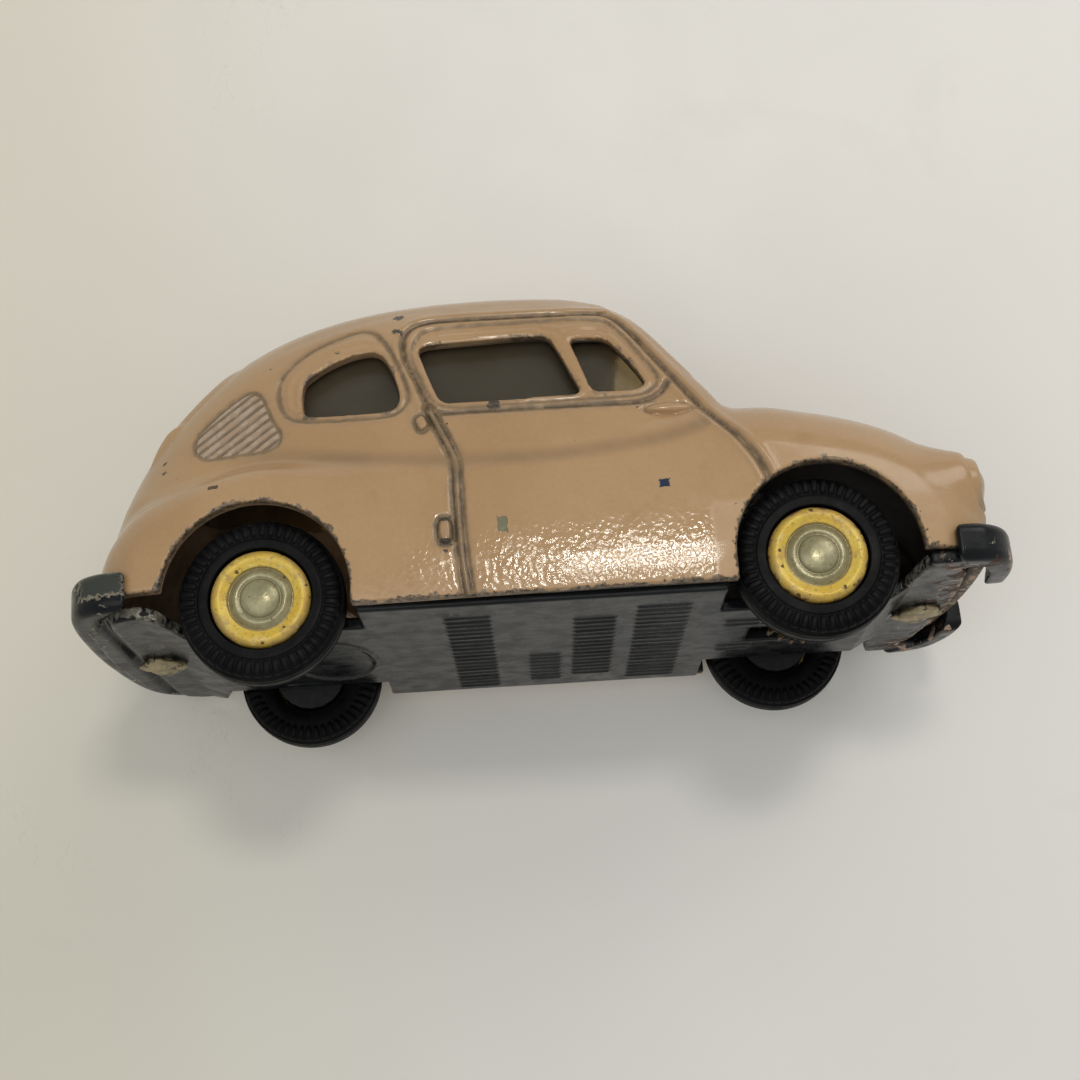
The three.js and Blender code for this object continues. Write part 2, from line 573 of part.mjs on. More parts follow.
const pinionBore = SHAFT_RADIUS + SHAFT_FIT;
place('axle_gear', spurGear(WHEEL_TEETH, GEAR_WIDTH, AXLE_RADIUS + BORE_CLEARANCE, wheelPhase), 'brass',
  [FRONT_X, GEAR_Y, AXLE_Z]);
place('layshaft', crossRod(SHAFT_RADIUS, 2 * SHAFT_END, 0, 0, 0, 16), 'steel', [LAYSHAFT[0], 0, LAYSHAFT[1]]);
place('layshaft_pinion', spurGear(PINION_TEETH, GEAR_WIDTH, pinionBore, pinionPhase), 'brass',
  [LAYSHAFT[0], GEAR_Y, LAYSHAFT[1]]);
place('layshaft_gear', spurGear(WHEEL_TEETH, GEAR_WIDTH, pinionBore, wheelPhase), 'brass',
  [LAYSHAFT[0], SECOND_GEAR_Y, LAYSHAFT[1]]);
const flyShaftLength = FLYWHEEL_Y + FLYWHEEL_WIDTH / 2 + SHAFT_PROUD + SHAFT_END;
const flyShaftMiddle = flyShaftLength / 2 - SHAFT_END;
place('flywheel_shaft', crossRod(SHAFT_RADIUS, flyShaftLength, 0, flyShaftMiddle, 0, 16), 'steel',
  [FLY_SHAFT[0], 0, FLY_SHAFT[1]]);
place('flywheel_pinion', spurGear(PINION_TEETH, GEAR_WIDTH, pinionBore, pinionPhase), 'brass',
  [FLY_SHAFT[0], SECOND_GEAR_Y, FLY_SHAFT[1]]);
place('flywheel', turned(FLYWHEEL_PROFILE, 28), 'zinc', [FLY_SHAFT[0], FLYWHEEL_Y, FLY_SHAFT[1]]);

export default car;
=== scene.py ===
# The friction toy car's looks: cast body and base, glazing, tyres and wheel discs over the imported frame.
# Shapes are worked out in millimetres in the part's frame, and scaled to metres when a mesh is made.
import json
import math

import bpy
import numpy as np
from mathutils import Matrix, Vector

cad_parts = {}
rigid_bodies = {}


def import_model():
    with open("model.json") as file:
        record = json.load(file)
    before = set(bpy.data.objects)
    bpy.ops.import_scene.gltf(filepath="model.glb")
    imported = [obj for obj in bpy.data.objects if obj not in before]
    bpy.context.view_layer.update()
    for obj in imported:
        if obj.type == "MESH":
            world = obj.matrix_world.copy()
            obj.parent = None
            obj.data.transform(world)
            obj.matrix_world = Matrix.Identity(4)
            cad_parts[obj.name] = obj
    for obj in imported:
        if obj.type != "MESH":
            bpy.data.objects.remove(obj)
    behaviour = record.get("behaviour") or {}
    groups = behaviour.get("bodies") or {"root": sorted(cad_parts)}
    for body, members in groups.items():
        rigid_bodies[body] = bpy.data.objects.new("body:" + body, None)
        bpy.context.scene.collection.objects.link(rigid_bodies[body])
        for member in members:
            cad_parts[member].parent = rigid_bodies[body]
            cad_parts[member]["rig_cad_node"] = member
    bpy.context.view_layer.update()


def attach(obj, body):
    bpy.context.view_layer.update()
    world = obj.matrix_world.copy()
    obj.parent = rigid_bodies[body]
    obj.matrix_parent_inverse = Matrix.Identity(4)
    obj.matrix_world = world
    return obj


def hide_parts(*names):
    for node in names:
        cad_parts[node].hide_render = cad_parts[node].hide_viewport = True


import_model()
MM = 0.001
BODY_CELL = 0.2
BASE_CELL = 0.26
NORMAL_BLUR = 0.12


# ---- curves and distances
def smoothstep(v, low, high):
    t = np.clip((v - low) / (high - low), 0, 1)
    return t * t * (3 - 2 * t)


def rounded_max(a, b, radius):
    corner = np.hypot(np.maximum(a + radius, 0), np.maximum(b + radius, 0))
    return np.minimum(np.maximum(a, b), -radius) + corner


def rounded_min(a, b, radius):
    return -rounded_max(-a, -b, radius)


def bell(distance, width):
    return np.exp(-((distance / width) ** 2))


def mirrored(points):
    return [(x, -y) for x, y in reversed(points)]


def spline(points, steps, closed=False):
    """A Catmull-Rom curve through the points, with that many steps to each span."""
    p = np.array(points, float)
    n = len(p)
    t = np.linspace(0, n if closed else n - 1, steps * (n if closed else n - 1) + 1)
    if closed:
        t = t[:-1]
    i = np.minimum(np.floor(t).astype(int), n - 1 if closed else n - 2)
    w = (t - i)[:, None]
    wrap = (lambda k: p[k % n]) if closed else (lambda k: p[np.clip(k, 0, n - 1)])
    p0, p1, p2, p3 = wrap(i - 1), wrap(i), wrap(i + 1), wrap(i + 2)
    v0, v1 = (p2 - p0) / 2, (p3 - p1) / 2
    return (2 * p1 - 2 * p2 + v0 + v1) * w**3 + (3 * p2 - 3 * p1 - 2 * v0 - v1) * w**2 + v0 * w + p1


def cut_corners(points, times, reach):
    """A closed outline with its corners rounded off, over no more than reach along an edge."""
    p = np.array(points, float)
    for _ in range(times):
        after = np.roll(p, -1, axis=0)
        share = np.minimum(0.22, reach / np.linalg.norm(after - p, axis=1))[:, None]
        p = np.stack([p + share * (after - p), after + share * (p - after)], 1).reshape(-1, 2)
        reach *= 0.5
    return p


def line_distance(points, u, v):
    """Distance from (u, v) to an open line of points."""
    best = np.full(u.shape, 1e9)
    for a, b in zip(points[:-1], points[1:]):
        ex, ey = b[0] - a[0], b[1] - a[1]
        t = np.clip(((u - a[0]) * ex + (v - a[1]) * ey) / (ex * ex + ey * ey + 1e-12), 0, 1)
        best = np.minimum(best, (u - a[0] - t * ex) ** 2 + (v - a[1] - t * ey) ** 2)
    return np.sqrt(best)


def area_distance(points, u, v):
    """Signed distance from (u, v) to a closed outline, negative inside."""
    ring = np.vstack([points, points[:1]])
    inside = np.zeros(u.shape, bool)
    for a, b in zip(ring[:-1], ring[1:]):
        if a[1] != b[1]:
            inside ^= ((a[1] > v) != (b[1] > v)) & (u < a[0] + (v - a[1]) * (b[0] - a[0]) / (b[1] - a[1]))
    distance = line_distance(ring, u, v)
    return np.where(inside, -distance, distance)


class Chart:
    """Values on a flat grid, read with bilinear interpolation."""

    def __init__(self, low, high, step):
        self.low, self.step = np.array(low, float), step
        self.axes = [np.arange(low[k], high[k] + step, step) for k in range(2)]
        self.u, self.v = np.meshgrid(*self.axes, indexing="ij")

    def read(self, values, u, v):
        fu = np.clip((u - self.low[0]) / self.step, 0, values.shape[0] - 1.001)
        fv = np.clip((v - self.low[1]) / self.step, 0, values.shape[1] - 1.001)
        i, j = fu.astype(np.int64), fv.astype(np.int64)
        a, b = fu - i, fv - j
        return ((values[i, j] * (1 - a) + values[i + 1, j] * a) * (1 - b)
                + (values[i, j + 1] * (1 - a) + values[i + 1, j + 1] * a) * b)


# ---- the body's volume
UPPER_OUTLINE = [
    (-34.4, 2), (-34.9, 7), (-34.9, 10.5), (-34.2, 13.6), (-33, 17), (-31.4, 20.4), (-29.4, 23.6),
    (-26.6, 26.8), (-23, 29.5), (-18.5, 31.5), (-13, 32.7), (-6, 33.2), (0, 33.1), (4.5, 32.6), (7.2, 31.5),
    (8.7, 29.9), (12.1, 25.4), (15.5, 20.9), (16.8, 17), (16.8, 2)]
LOWER_OUTLINE = [
    (-34.5, 2), (-34.9, 7), (-34.9, 10), (-33.9, 13), (-31.6, 15.6), (-27.5, 17.4), (-22, 18.2), (-14, 17.5),
    (-4, 17.3), (6, 18.2), (13, 20.1), (18.5, 20.5), (22.5, 19.8), (26.5, 18.8), (30, 17.4), (33, 15.3),
    (35.2, 12.6), (36, 10), (35.8, 7), (35.3, 5), (35, 2)]
HALF_LENGTH, HALF_WIDTH, WIDEST_Z = 37, 16.35, 8.5
CABIN_HALF_WIDTH, BELT_Z = 15.45, 16
WALL = 1.3
LAMP_X, LAMP_Y, LAMP_Z, LAMP_LENGTH, LAMP_RADIUS = 31.6, 10.9, 11.9, 4.3, 2.95

outline_chart = Chart((-42, -2), (44, 40), 0.15)
upper_field = area_distance(spline(UPPER_OUTLINE, 14), outline_chart.u, outline_chart.v)
lower_field = area_distance(spline(LOWER_OUTLINE, 14), outline_chart.u, outline_chart.v)


def body_volume(x, side, z):
    """Signed distance to the plain body, without its openings or relief."""
    swept = x + np.sign(x) * 0.008 * side * side * smoothstep(np.abs(x), 8, 34)
    crowned = z + 0.0065 * side * side
    lower_half = (HALF_WIDTH - 3.2 * (np.abs(x) / HALF_LENGTH) ** 4
                  - 0.011 * np.maximum(z - WIDEST_Z, 0) ** 2 - 0.012 * np.maximum(WIDEST_Z - z, 0) ** 2)
    upper_half = (CABIN_HALF_WIDTH - 0.27 * np.maximum(z - BELT_Z, 0) - 3.4 * smoothstep(-x, 6, 36)
                  - 0.9 * smoothstep(x, 4, 18))
    shoulder = 1.6 + 2.4 * smoothstep(x, 10, 18) + 1.4 * smoothstep(-x, 18, 28)
    roof_edge = 5 - 3.2 * smoothstep(x, 5, 11)
    lower = rounded_max(side - lower_half, outline_chart.read(lower_field, swept, crowned), shoulder)
    upper = rounded_max(side - upper_half, outline_chart.read(upper_field, swept, crowned), roof_edge)
    around = np.hypot(side - LAMP_Y, z - LAMP_Z) / LAMP_RADIUS
    lamp = (np.hypot((x - LAMP_X) / LAMP_LENGTH, around) - 1) * LAMP_RADIUS
    return rounded_min(rounded_min(lower, upper, 0.8), lamp, 1.2)


# ---- meshes from signed distances
def surface_net(distance, low, high, cell, reach):
    """Vertices and quads on distance(x, y, z) = 0. A box from y = 0 holds one half, its seam at y = 0."""
    block = 4
    low = np.array([low[0], low[1] or -cell, low[2]], float)
    high = np.array(high, float)
    counts = np.ceil((high - low) / (cell * block)).astype(int)
    centres = np.meshgrid(*[low[k] + (np.arange(counts[k]) + 0.5) * cell * block for k in range(3)],
                          indexing="ij")
    coarse = distance(*centres)
    active = np.abs(coarse) < reach + cell * block * 0.87
    values = np.where(coarse < 0, -1.0, 1.0)
    for axis in range(3):
        values = np.repeat(values, block, axis)
        active = np.repeat(active, block, axis)
    at = np.nonzero(active)
    place = [low[k] + (at[k] + 0.5) * cell for k in range(3)]
    values[at] = distance(*place)

    inside = values < 0
    corners = [np.array([i, j, k]) for i in (0, 1) for j in (0, 1) for k in (0, 1)]
    size = np.array(values.shape) - 1

    def shifted(array, c):
        return array[c[0]:c[0] + size[0], c[1]:c[1] + size[1], c[2]:c[2] + size[2]]

    count = sum(shifted(inside, c).astype(np.int8) for c in corners)
    cells = np.argwhere((count > 0) & (count < 8))
    index = np.full(size, -1, np.int64)
    index[tuple(cells.T)] = np.arange(len(cells))
    total, hits = np.zeros((len(cells), 3)), np.zeros(len(cells))
    for a in corners:
        for axis in range(3):
            if a[axis]:
                continue
            b = a.copy()
            b[axis] = 1
            va, vb = values[tuple((cells + a).T)], values[tuple((cells + b).T)]
            crosses = (va < 0) != (vb < 0)
            t = np.where(crosses, va / np.where(crosses, va - vb, 1), 0)
            total += np.where(crosses[:, None], a + t[:, None] * (b - a), 0)
            hits += crosses
    vertices = low + (cells + 0.5 + total / hits[:, None]) * cell
    quads = []
    for axis in range(3):
        b, c = (axis + 1) % 3, (axis + 2) % 3
        step, eb, ec = np.eye(3, dtype=int)[[axis, b, c]]
        first = inside[tuple(slice(0, -1) if k == axis else slice(None) for k in range(3))]
        second = inside[tuple(slice(1, None) if k == axis else slice(None) for k in range(3))]
        edge = np.argwhere(first != second)
        fits = (edge[:, b] > 0) & (edge[:, c] > 0) & (edge[:, b] < size[b]) & (edge[:, c] < size[c])
        edge = edge[fits]
        ring = np.stack([index[tuple((edge - eb - ec).T)], index[tuple((edge - ec).T)],
                         index[tuple(edge.T)], index[tuple((edge - eb).T)]], 1)
        outward = first[tuple(edge.T)]
        quads.append(np.where(outward[:, None], ring, ring[:, ::-1]))
    return vertices, np.vstack(quads), cells[:, 1] == 0


def slope(distance, p, h):
    """The gradient of distance at the points p."""
    def at(dx, dy, dz):
        return distance(p[:, 0] + dx, p[:, 1] + dy, p[:, 2] + dz)
    rises = [at(h, 0, 0) - at(-h, 0, 0), at(0, h, 0) - at(0, -h, 0), at(0, 0, h) - at(0, 0, -h)]
    return np.stack(rises, 1) / (2 * h)


def settle(distance, p, rounds, most):
    """The points moved along the gradient on to the surface."""
    for _ in range(rounds):
        g = slope(distance, p, 0.02)
        d = distance(*p.T)
        step = np.clip(d / np.maximum((g * g).sum(1), 0.2), -most, most)
        p = p - step[:, None] * g
    return p


def mesh_from(name, vertices, faces):
    mesh = bpy.data.meshes.new(name)
    mesh.vertices.add(len(vertices))
    mesh.vertices.foreach_set("co", np.asarray(vertices, np.float32).ravel())
    mesh.loops.add(faces.size)
    mesh.loops.foreach_set("vertex_index", faces.astype(np.int32).ravel())
    mesh.polygons.add(len(faces))
    mesh.polygons.foreach_set("loop_start", np.arange(0, faces.size, faces.shape[1], dtype=np.int32))
    mesh.update(calc_edges=True)
    return mesh


def placed(name, data):
    """A new object in the scene."""
    thing = bpy.data.objects.new(name, data)
    bpy.context.scene.collection.objects.link(thing)
    return thing


def thinned(vertices, quads, share):
    """The surface with its flat stretches in larger triangles."""
    mesh = mesh_from("draft", vertices, quads)
    draft = placed("draft", mesh)
    draft.modifiers.new("thin", "DECIMATE").ratio = share
    seen = draft.evaluated_get(bpy.context.evaluated_depsgraph_get()).to_mesh()
    seen.calc_loop_triangles()
    points = np.empty(len(seen.vertices) * 3, np.float32)
    seen.vertices.foreach_get("co", points)
    corners = np.empty(len(seen.loop_triangles) * 3, np.int32)
    seen.loop_triangles.foreach_get("vertices", corners)
    bpy.data.objects.remove(draft)
    bpy.data.meshes.remove(mesh)
    return points.reshape(-1, 3).astype(float), corners.reshape(-1, 3).astype(np.int64)


def open_edges(faces):
    """The vertices on the edges that only one triangle uses."""
    edges = np.sort(np.vstack([faces[:, [0, 1]], faces[:, [1, 2]], faces[:, [2, 0]]]), axis=1)
    pairs, used = np.unique(edges, axis=0, return_counts=True)
    return np.unique(pairs[used == 1])


def cast(name, distance, low, high, cell, reach, share):
    """A smooth object on distance = 0, and its vertices in millimetres. A box from y = 0 is mirrored."""
    half = low[1] == 0
    vertices, quads, seam = surface_net(distance, low, high, cell, reach)
    vertices[seam & half, 1] = 0
    vertices = settle(distance, vertices, 2, 0.5 * cell)
    vertices[seam & half, 1] = 0
    vertices, faces = thinned(vertices, quads, share)
    vertices = settle(distance, vertices, 1, 0.25 * cell)
    on_seam = np.zeros(len(vertices), bool)
    if half:
        on_seam[open_edges(faces)] = True
    vertices[on_seam, 1] = 0
    normals = slope(distance, vertices, NORMAL_BLUR)
    normals[on_seam, 1] = 0
    normals /= np.maximum(np.linalg.norm(normals, axis=1, keepdims=True), 1e-9)
    if half:
        other = np.where(on_seam, np.arange(len(vertices)), len(vertices) + np.cumsum(~on_seam) - 1)
        flip = np.array([1, -1, 1])
        vertices = np.vstack([vertices, vertices[~on_seam] * flip])
        normals = np.vstack([normals, normals[~on_seam] * flip])
        faces = np.vstack([faces, other[faces][:, ::-1]])
    mesh = mesh_from(name, vertices * MM, faces)
    mesh.polygons.foreach_set("use_smooth", np.ones(len(faces), bool))
    mesh.normals_split_custom_set_from_vertices(normals)
    return placed(name, mesh), vertices


def paint_on(thing, name, values):
    """A value at each vertex, for the materials to read."""
    layer = thing.data.attributes.new(name, "FLOAT", "POINT")
    layer.data.foreach_set("value", np.asarray(values, np.float32))


# ---- the body's openings and relief
SILL_Z, SILL_TILT = 4.7, 0.015
TAIL_RISE, NOSE_RISE, RISE_X = 2.2, 1.8, 26.8
ARCHES = [(21.9, 6.15), (-21.3, 6.4)]
ARCH_RADIUS = 7.2
QUARTER_HOLE = [
    (-17.5, 24.5), (-17.6, 22.8), (-17.4, 21.2), (-14.5, 20.9), (-11, 20.7), (-10.2, 20.9), (-9.8, 21.6),
    (-9.8, 22.5), (-10.2, 24.2), (-10.8, 25.8), (-11.5, 26.6), (-12.7, 26.7), (-14.5, 26.3), (-16.3, 25.4)]
QUARTER_FRAME = [
    (-19.5, 23.8), (-19.4, 24.9), (-18.6, 26.2), (-17, 27.6), (-14.7, 28.6), (-12.7, 29.1), (-11.5, 28.5),
    (-10.5, 26.8), (-9.7, 24.6), (-9.1, 22.6), (-9.1, 21.4), (-9.9, 20.5), (-10.9, 20.2), (-14.5, 20.4),
    (-17.9, 20.8), (-18.9, 21.5), (-19.4, 22.6)]
DOOR_HOLE = [
    (-8.3, 26.6), (-6.8, 26.8), (-1, 26.9), (2.2, 26.8), (2.9, 25.3), (4.5, 20.9), (-1.2, 20.9),
    (-6.6, 21), (-7.5, 23.7)]
LIGHT_HOLE = [(3.8, 26.4), (5.3, 21.0), (8.5, 21.0), (9.5, 21.5), (9.3, 22.3), (8.2, 24.2), (6.8, 26.3)]
DOOR_FRAME = [
    (-8.8, 25.7), (-8.6, 26.8), (-8, 27.9), (-7.3, 28.2), (-5.9, 28.4), (-0.3, 28.3), (3.3, 28.3),
    (6.4, 28.3), (7.2, 27.9), (8, 26.8), (9.2, 24.6), (10.5, 22.3), (10.4, 21.4), (9.4, 20.6), (8.1, 20.4),
    (2.7, 20.4), (-2, 20.5), (-6.9, 20.5), (-8, 23.1)]
DOOR_REAR = [
    (-5.3, 4.4), (-5.6, 7.4), (-5.7, 10.6), (-5.7, 13), (-5.7, 15.5), (-6.2, 17.1), (-6.9, 18.9),
    (-7.6, 20.6)]
DOOR_SEAM = [
    (-7.6, 20.6), (-8.4, 23.2), (-9.1, 25), (-9.4, 26.5), (-9.3, 27.7), (-8.6, 28.7), (-7.5, 29.1),
    (-5.9, 29.2), (-1.9, 29.1), (3, 29), (6.2, 29.1), (7.4, 28.8), (8.3, 27.7), (9.4, 25.8), (10.5, 23.9),
    (12.1, 21.4), (13.8, 18.7), (14.9, 17.1), (16, 15.7), (17, 14.1), (17.6, 12.7), (17.9, 11.7)]
LEDGE = [(-6.7, 20.1), (-2.0, 20.0), (2.6, 19.9), (7.7, 19.8), (9.5, 20.0), (10.6, 20.7), (11.3, 21.6)]
LOUVRE = [
    (-25.3, 18.4), (-26.2, 19.1), (-26.4, 20.3), (-25.8, 21.5), (-24.2, 23), (-22.7, 24.1), (-21.9, 24.4),
    (-21.2, 24.1), (-20.7, 23.4), (-20.1, 21.5), (-19.2, 19.9), (-19.4, 19), (-20.3, 18.5), (-22.5, 18.5)]
UPPER_HINGE = [(-8.75, 19.7), (-8.0, 20.1), (-7.55, 19.0), (-8.3, 18.4)]
LOWER_HINGE = [(-7.3, 10.8), (-6.3, 10.8), (-6.3, 8.9), (-7.3, 8.9)]
ROOF_GUTTER = [(-19, 28.6), (-14.2, 30.1), (-8.0, 30.9), (-1.4, 30.9), (3.6, 30.8), (6.6, 30.2)]
BELT_CREASE = [
    (-25.6, 16.3), (-22.9, 17.6), (-19.3, 17.9), (-14.5, 16.9), (-9.9, 16.2), (-4.6, 15.7), (0.7, 15.5),
    (5.3, 15.7), (8.4, 16), (11.6, 16.6), (13.6, 17.4)]
HANDLE_X, HANDLE_Z, HANDLE_LENGTH, HANDLE_HEIGHT = 11.0, 19.05, 1.75, 0.5
# Seen along X: half width and height at the lower edge, then at the upper edge.
WINDSCREEN = (10.9, 22, 9.4, 29.4)
REAR_WINDOW = (7.6, 22.3, 6.8, 28.0)
ENGINE_LID = (8.4, 10.5, 7.8, 19.6)
BONNET_SEAM = [(17.6, 10.6), (22, 10.8), (27, 10), (31, 8.3), (33.8, 5.4), (35, 2.5), (35.2, 0)]
LENS_RADIUS = 2.3
# Side relief and side windows lie farther out than these, the windscreen and rear window farther along.
FLANK_Y, WINDOW_Y, SCREEN_X, BACK_X = 8.2, 9, 4, -16
SCOOP_X, SCOOP_Y, SCOOP_LENGTH, SCOOP_WIDTH, SCOOP_HEIGHT = -29.1, 8.6, 1.5, 0.6, 0.5

side_chart = Chart((-38, 2), (38, 36), 0.1)


def over_side(points, rounds=2, reach=0.45):
    return area_distance(cut_corners(points, rounds, reach), side_chart.u, side_chart.v)


quarter_hole, quarter_frame = over_side(QUARTER_HOLE), over_side(QUARTER_FRAME, 3, 1.2)
door_holes = np.minimum(over_side(DOOR_HOLE), over_side(LIGHT_HOLE))
door_frame = over_side(DOOR_FRAME, 3, 1.2)
louvre_field = over_side(LOUVRE)
door_rear, door_seam, ledge, gutter = [
    line_distance(spline(line, 6), side_chart.u, side_chart.v)
    for line in (DOOR_REAR, DOOR_SEAM, LEDGE, ROOF_GUTTER)]
upper_hinge, lower_hinge = over_side(UPPER_HINGE), over_side(LOWER_HINGE)
crease = line_distance(spline(BELT_CREASE, 6), side_chart.u, side_chart.v)
crease_ends = smoothstep(side_chart.u, -27, -22) * (1 - smoothstep(side_chart.u, 10, 15))
handle_u, handle_v = (side_chart.u - HANDLE_X) / HANDLE_LENGTH, (side_chart.v - HANDLE_Z) / HANDLE_HEIGHT
handle = 1 - handle_u**2 - handle_v**2
end_chart = Chart((-18, 4), (18, 36), 0.15)


def over_end(wide, low, narrow, high):
    corners = [(-wide, low), (wide, low), (narrow, high), (-narrow, high)]
    return area_distance(cut_corners(corners, 3, 1.6), end_chart.u, end_chart.v)


windscreen_field, rear_window_field, lid_field = [
    over_end(*edges) for edges in (WINDSCREEN, REAR_WINDOW, ENGINE_LID)]
plan_chart = Chart((14, -1), (38, 16), 0.15)
bonnet_field = line_distance(spline(BONNET_SEAM, 8), plan_chart.u, plan_chart.v)


def frame_relief(hole, outer):
    """Concentric ridges between a window and its frame's outline, finer where the frame is narrow."""
    inward, outward = np.maximum(hole, 0), np.maximum(-outer, 0)
    width = inward + outward
    across = inward / np.maximum(width, 1e-6)
    rows = np.where(width > 1.5, 2.5, 1.5)
    ridges = -0.5 + 0.5 * np.cos(2 * np.pi * rows * across + np.pi)
    depth = 0.13 * ridges * np.minimum(width, 1) - 0.08 * (1 - across)
    return np.where((hole > 0) & (outer < 0), depth, 0)


side_relief = (
    frame_relief(quarter_hole, quarter_frame) + frame_relief(door_holes, door_frame)
    - 0.2 * bell(quarter_frame, 0.18) - 0.16 * bell(door_frame, 0.17)
    - 0.24 * bell(door_rear - 0.36, 0.19) + 0.06 * bell(door_rear, 0.2)
    - 0.3 * bell(door_seam, 0.26) + 0.15 * bell(door_seam - 0.62, 0.27)
    - 0.3 * bell(ledge, 0.27) - 0.07 * bell(gutter, 0.5) - 0.22 * bell(crease, 0.8) * crease_ends
    - 0.16 * (1 - smoothstep(louvre_field, -0.2, 0.1)) - 0.14 * bell(louvre_field, 0.16)
    + 0.55 * np.sqrt(np.maximum(handle, 0)) - 0.16 * bell(handle + 0.25, 0.35)
    + 0.2 * (1 - smoothstep(upper_hinge, -0.2, 0.1)) - 0.2 * bell(upper_hinge - 0.12, 0.16)
    + 0.22 * (1 - smoothstep(lower_hinge, -0.2, 0.1)) - 0.2 * bell(lower_hinge - 0.12, 0.16))
seam_distance = np.minimum.reduce([
    np.abs(door_rear - 0.3), np.abs(door_seam), np.abs(ledge), np.abs(door_frame) + 0.15,
    np.abs(quarter_frame) + 0.1, np.abs(louvre_field) + 0.12, np.abs(upper_hinge - 0.1) + 0.08,
    np.abs(lower_hinge - 0.1), gutter + 0.42,
    np.where(handle > 0, 1.0, np.abs(handle) * 0.5 + 0.12)])
window_field = np.minimum(quarter_hole, door_holes)


def skirt_line(x):
    behind = smoothstep(-x, RISE_X, RISE_X + 0.5)
    ahead = smoothstep(x, RISE_X, RISE_X + 0.5)
    return SILL_Z - SILL_TILT * x + (TAIL_RISE * behind + NOSE_RISE * ahead)


def opening_distance(x, side, z):
    """Distances to the nearest arch or lower edge and to the nearest window, negative in the opening."""
    arches = [np.hypot(x - ax, np.maximum(z - az, 0)) - ARCH_RADIUS for ax, az in ARCHES]
    nearest = np.minimum(np.minimum(*arches), z - skirt_line(x))
    windows = np.maximum(side_chart.read(window_field, x, z), WINDOW_Y - side)
    screen = np.maximum(end_chart.read(windscreen_field, side, z), SCREEN_X - x)
    back = np.maximum(end_chart.read(rear_window_field, side, z), x - BACK_X)
    return nearest, np.minimum(np.minimum(windows, screen), back)


def relief(x, side, z):
    """How far the paint stands proud of the plain body."""
    raised = smoothstep(side, FLANK_Y, FLANK_Y + 1) * side_chart.read(side_relief, x, z)
    screen = end_chart.read(windscreen_field, side, z)
    surround = 0.16 * bell(screen - 0.75, 0.4) - 0.12 * bell(screen - 1.5, 0.22)
    raised = raised + smoothstep(x, 6, 7) * surround
    back = end_chart.read(rear_window_field, side, z)
    surround = 0.16 * bell(back - 0.7, 0.4) - 0.12 * bell(back - 1.4, 0.22)
    raised = raised + smoothstep(-x, 17, 19) * surround
    lid = end_chart.read(lid_field, side, z)
    behind = smoothstep(-x, 27, 28.5)
    slats = smoothstep(-lid, 1.2, 1.8) * smoothstep(z, 12.6, 13.2)
    raised = raised + behind * (-0.18 * bell(lid, 0.2) + slats * 0.16 * np.cos(2 * np.pi * z / 1.25))
    bonnet = plan_chart.read(bonnet_field, x, side)
    raised = raised - 0.2 * bell(bonnet, 0.2) * smoothstep(x, 16.5, 17.5) * smoothstep(z, 10.5, 12)
    spine = bell(side, 0.7) * smoothstep(x, 18.5, 20.5) * smoothstep(z, 11, 12.5)
    around = np.hypot(side - LAMP_Y, z - LAMP_Z)
    flat_lens = 1 - smoothstep(around, LENS_RADIUS - 0.8, LENS_RADIUS - 0.1)
    lamp = smoothstep(x, 32.4, 33.4) * (-0.4 * flat_lens - 0.26 * bell(around - LENS_RADIUS, 0.2))
    nub = ((x - SCOOP_X) / SCOOP_LENGTH) ** 2 + ((side - SCOOP_Y) / SCOOP_WIDTH) ** 2
    scoop = SCOOP_HEIGHT * np.maximum(1 - nub, 0) * smoothstep(z, 18, 19)
    return raised + 0.14 * spine + lamp + scoop


def body_shape(x, y, z):
    side = np.abs(y)
    plain = body_volume(x, side, z)
    solid = rounded_max(plain - relief(x, side, z), -(plain + WALL), 0.15)
    below, windows = opening_distance(x, side, z)
    return rounded_max(rounded_max(solid, -below, 0.22), -windows, 0.1)


body, points = cast("car_body", body_shape, (-38, 0, 3), (38, 17.4, 35), BODY_CELL, reach=0.9, share=0.34)
x, y, z = points.T
side = np.abs(y)
flank = side > FLANK_Y
below, windows = opening_distance(x, side, z)
paint_on(body, "rim", np.minimum(np.abs(below), 4))
paint_on(body, "pane", np.minimum(np.abs(windows), 4))
paint_on(body, "seam", np.where(flank, side_chart.read(seam_distance, x, z), 1))
paint_on(body, "crease", np.where(flank & (x > -27) & (x < 14), side_chart.read(crease, x, z), 4))
paint_on(body, "louvre", np.where(flank, side_chart.read(louvre_field, x, z), 1))
paint_on(body, "inside", np.clip(-body_volume(x, side, z) / WALL, 0, 1))
paint_on(body, "lens", np.where(x > 32, np.hypot(side - LAMP_Y, z - LAMP_Z), 9))
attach(body, "chassis")
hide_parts("body_shell")


# ---- glazing, one moulding inside the shell
GLAZING_GAP, GLAZING_WALL, GLAZING_FLOOR_Z = 0.3, 0.75, 19.6


def glazing_shape(x, y, z):
    plain = body_volume(x, np.abs(y), z) + WALL + GLAZING_GAP
    skin = rounded_max(plain, -(plain + GLAZING_WALL), 0.05)
    return np.maximum(skin, np.maximum(GLAZING_FLOOR_Z - z, x - 16))


glazing, _ = cast("car_glazing", glazing_shape, (-32, 0, 19), (18, 15, 33), 0.34, reach=0.9, share=0.5)
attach(glazing, "chassis")
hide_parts("window_glazing")


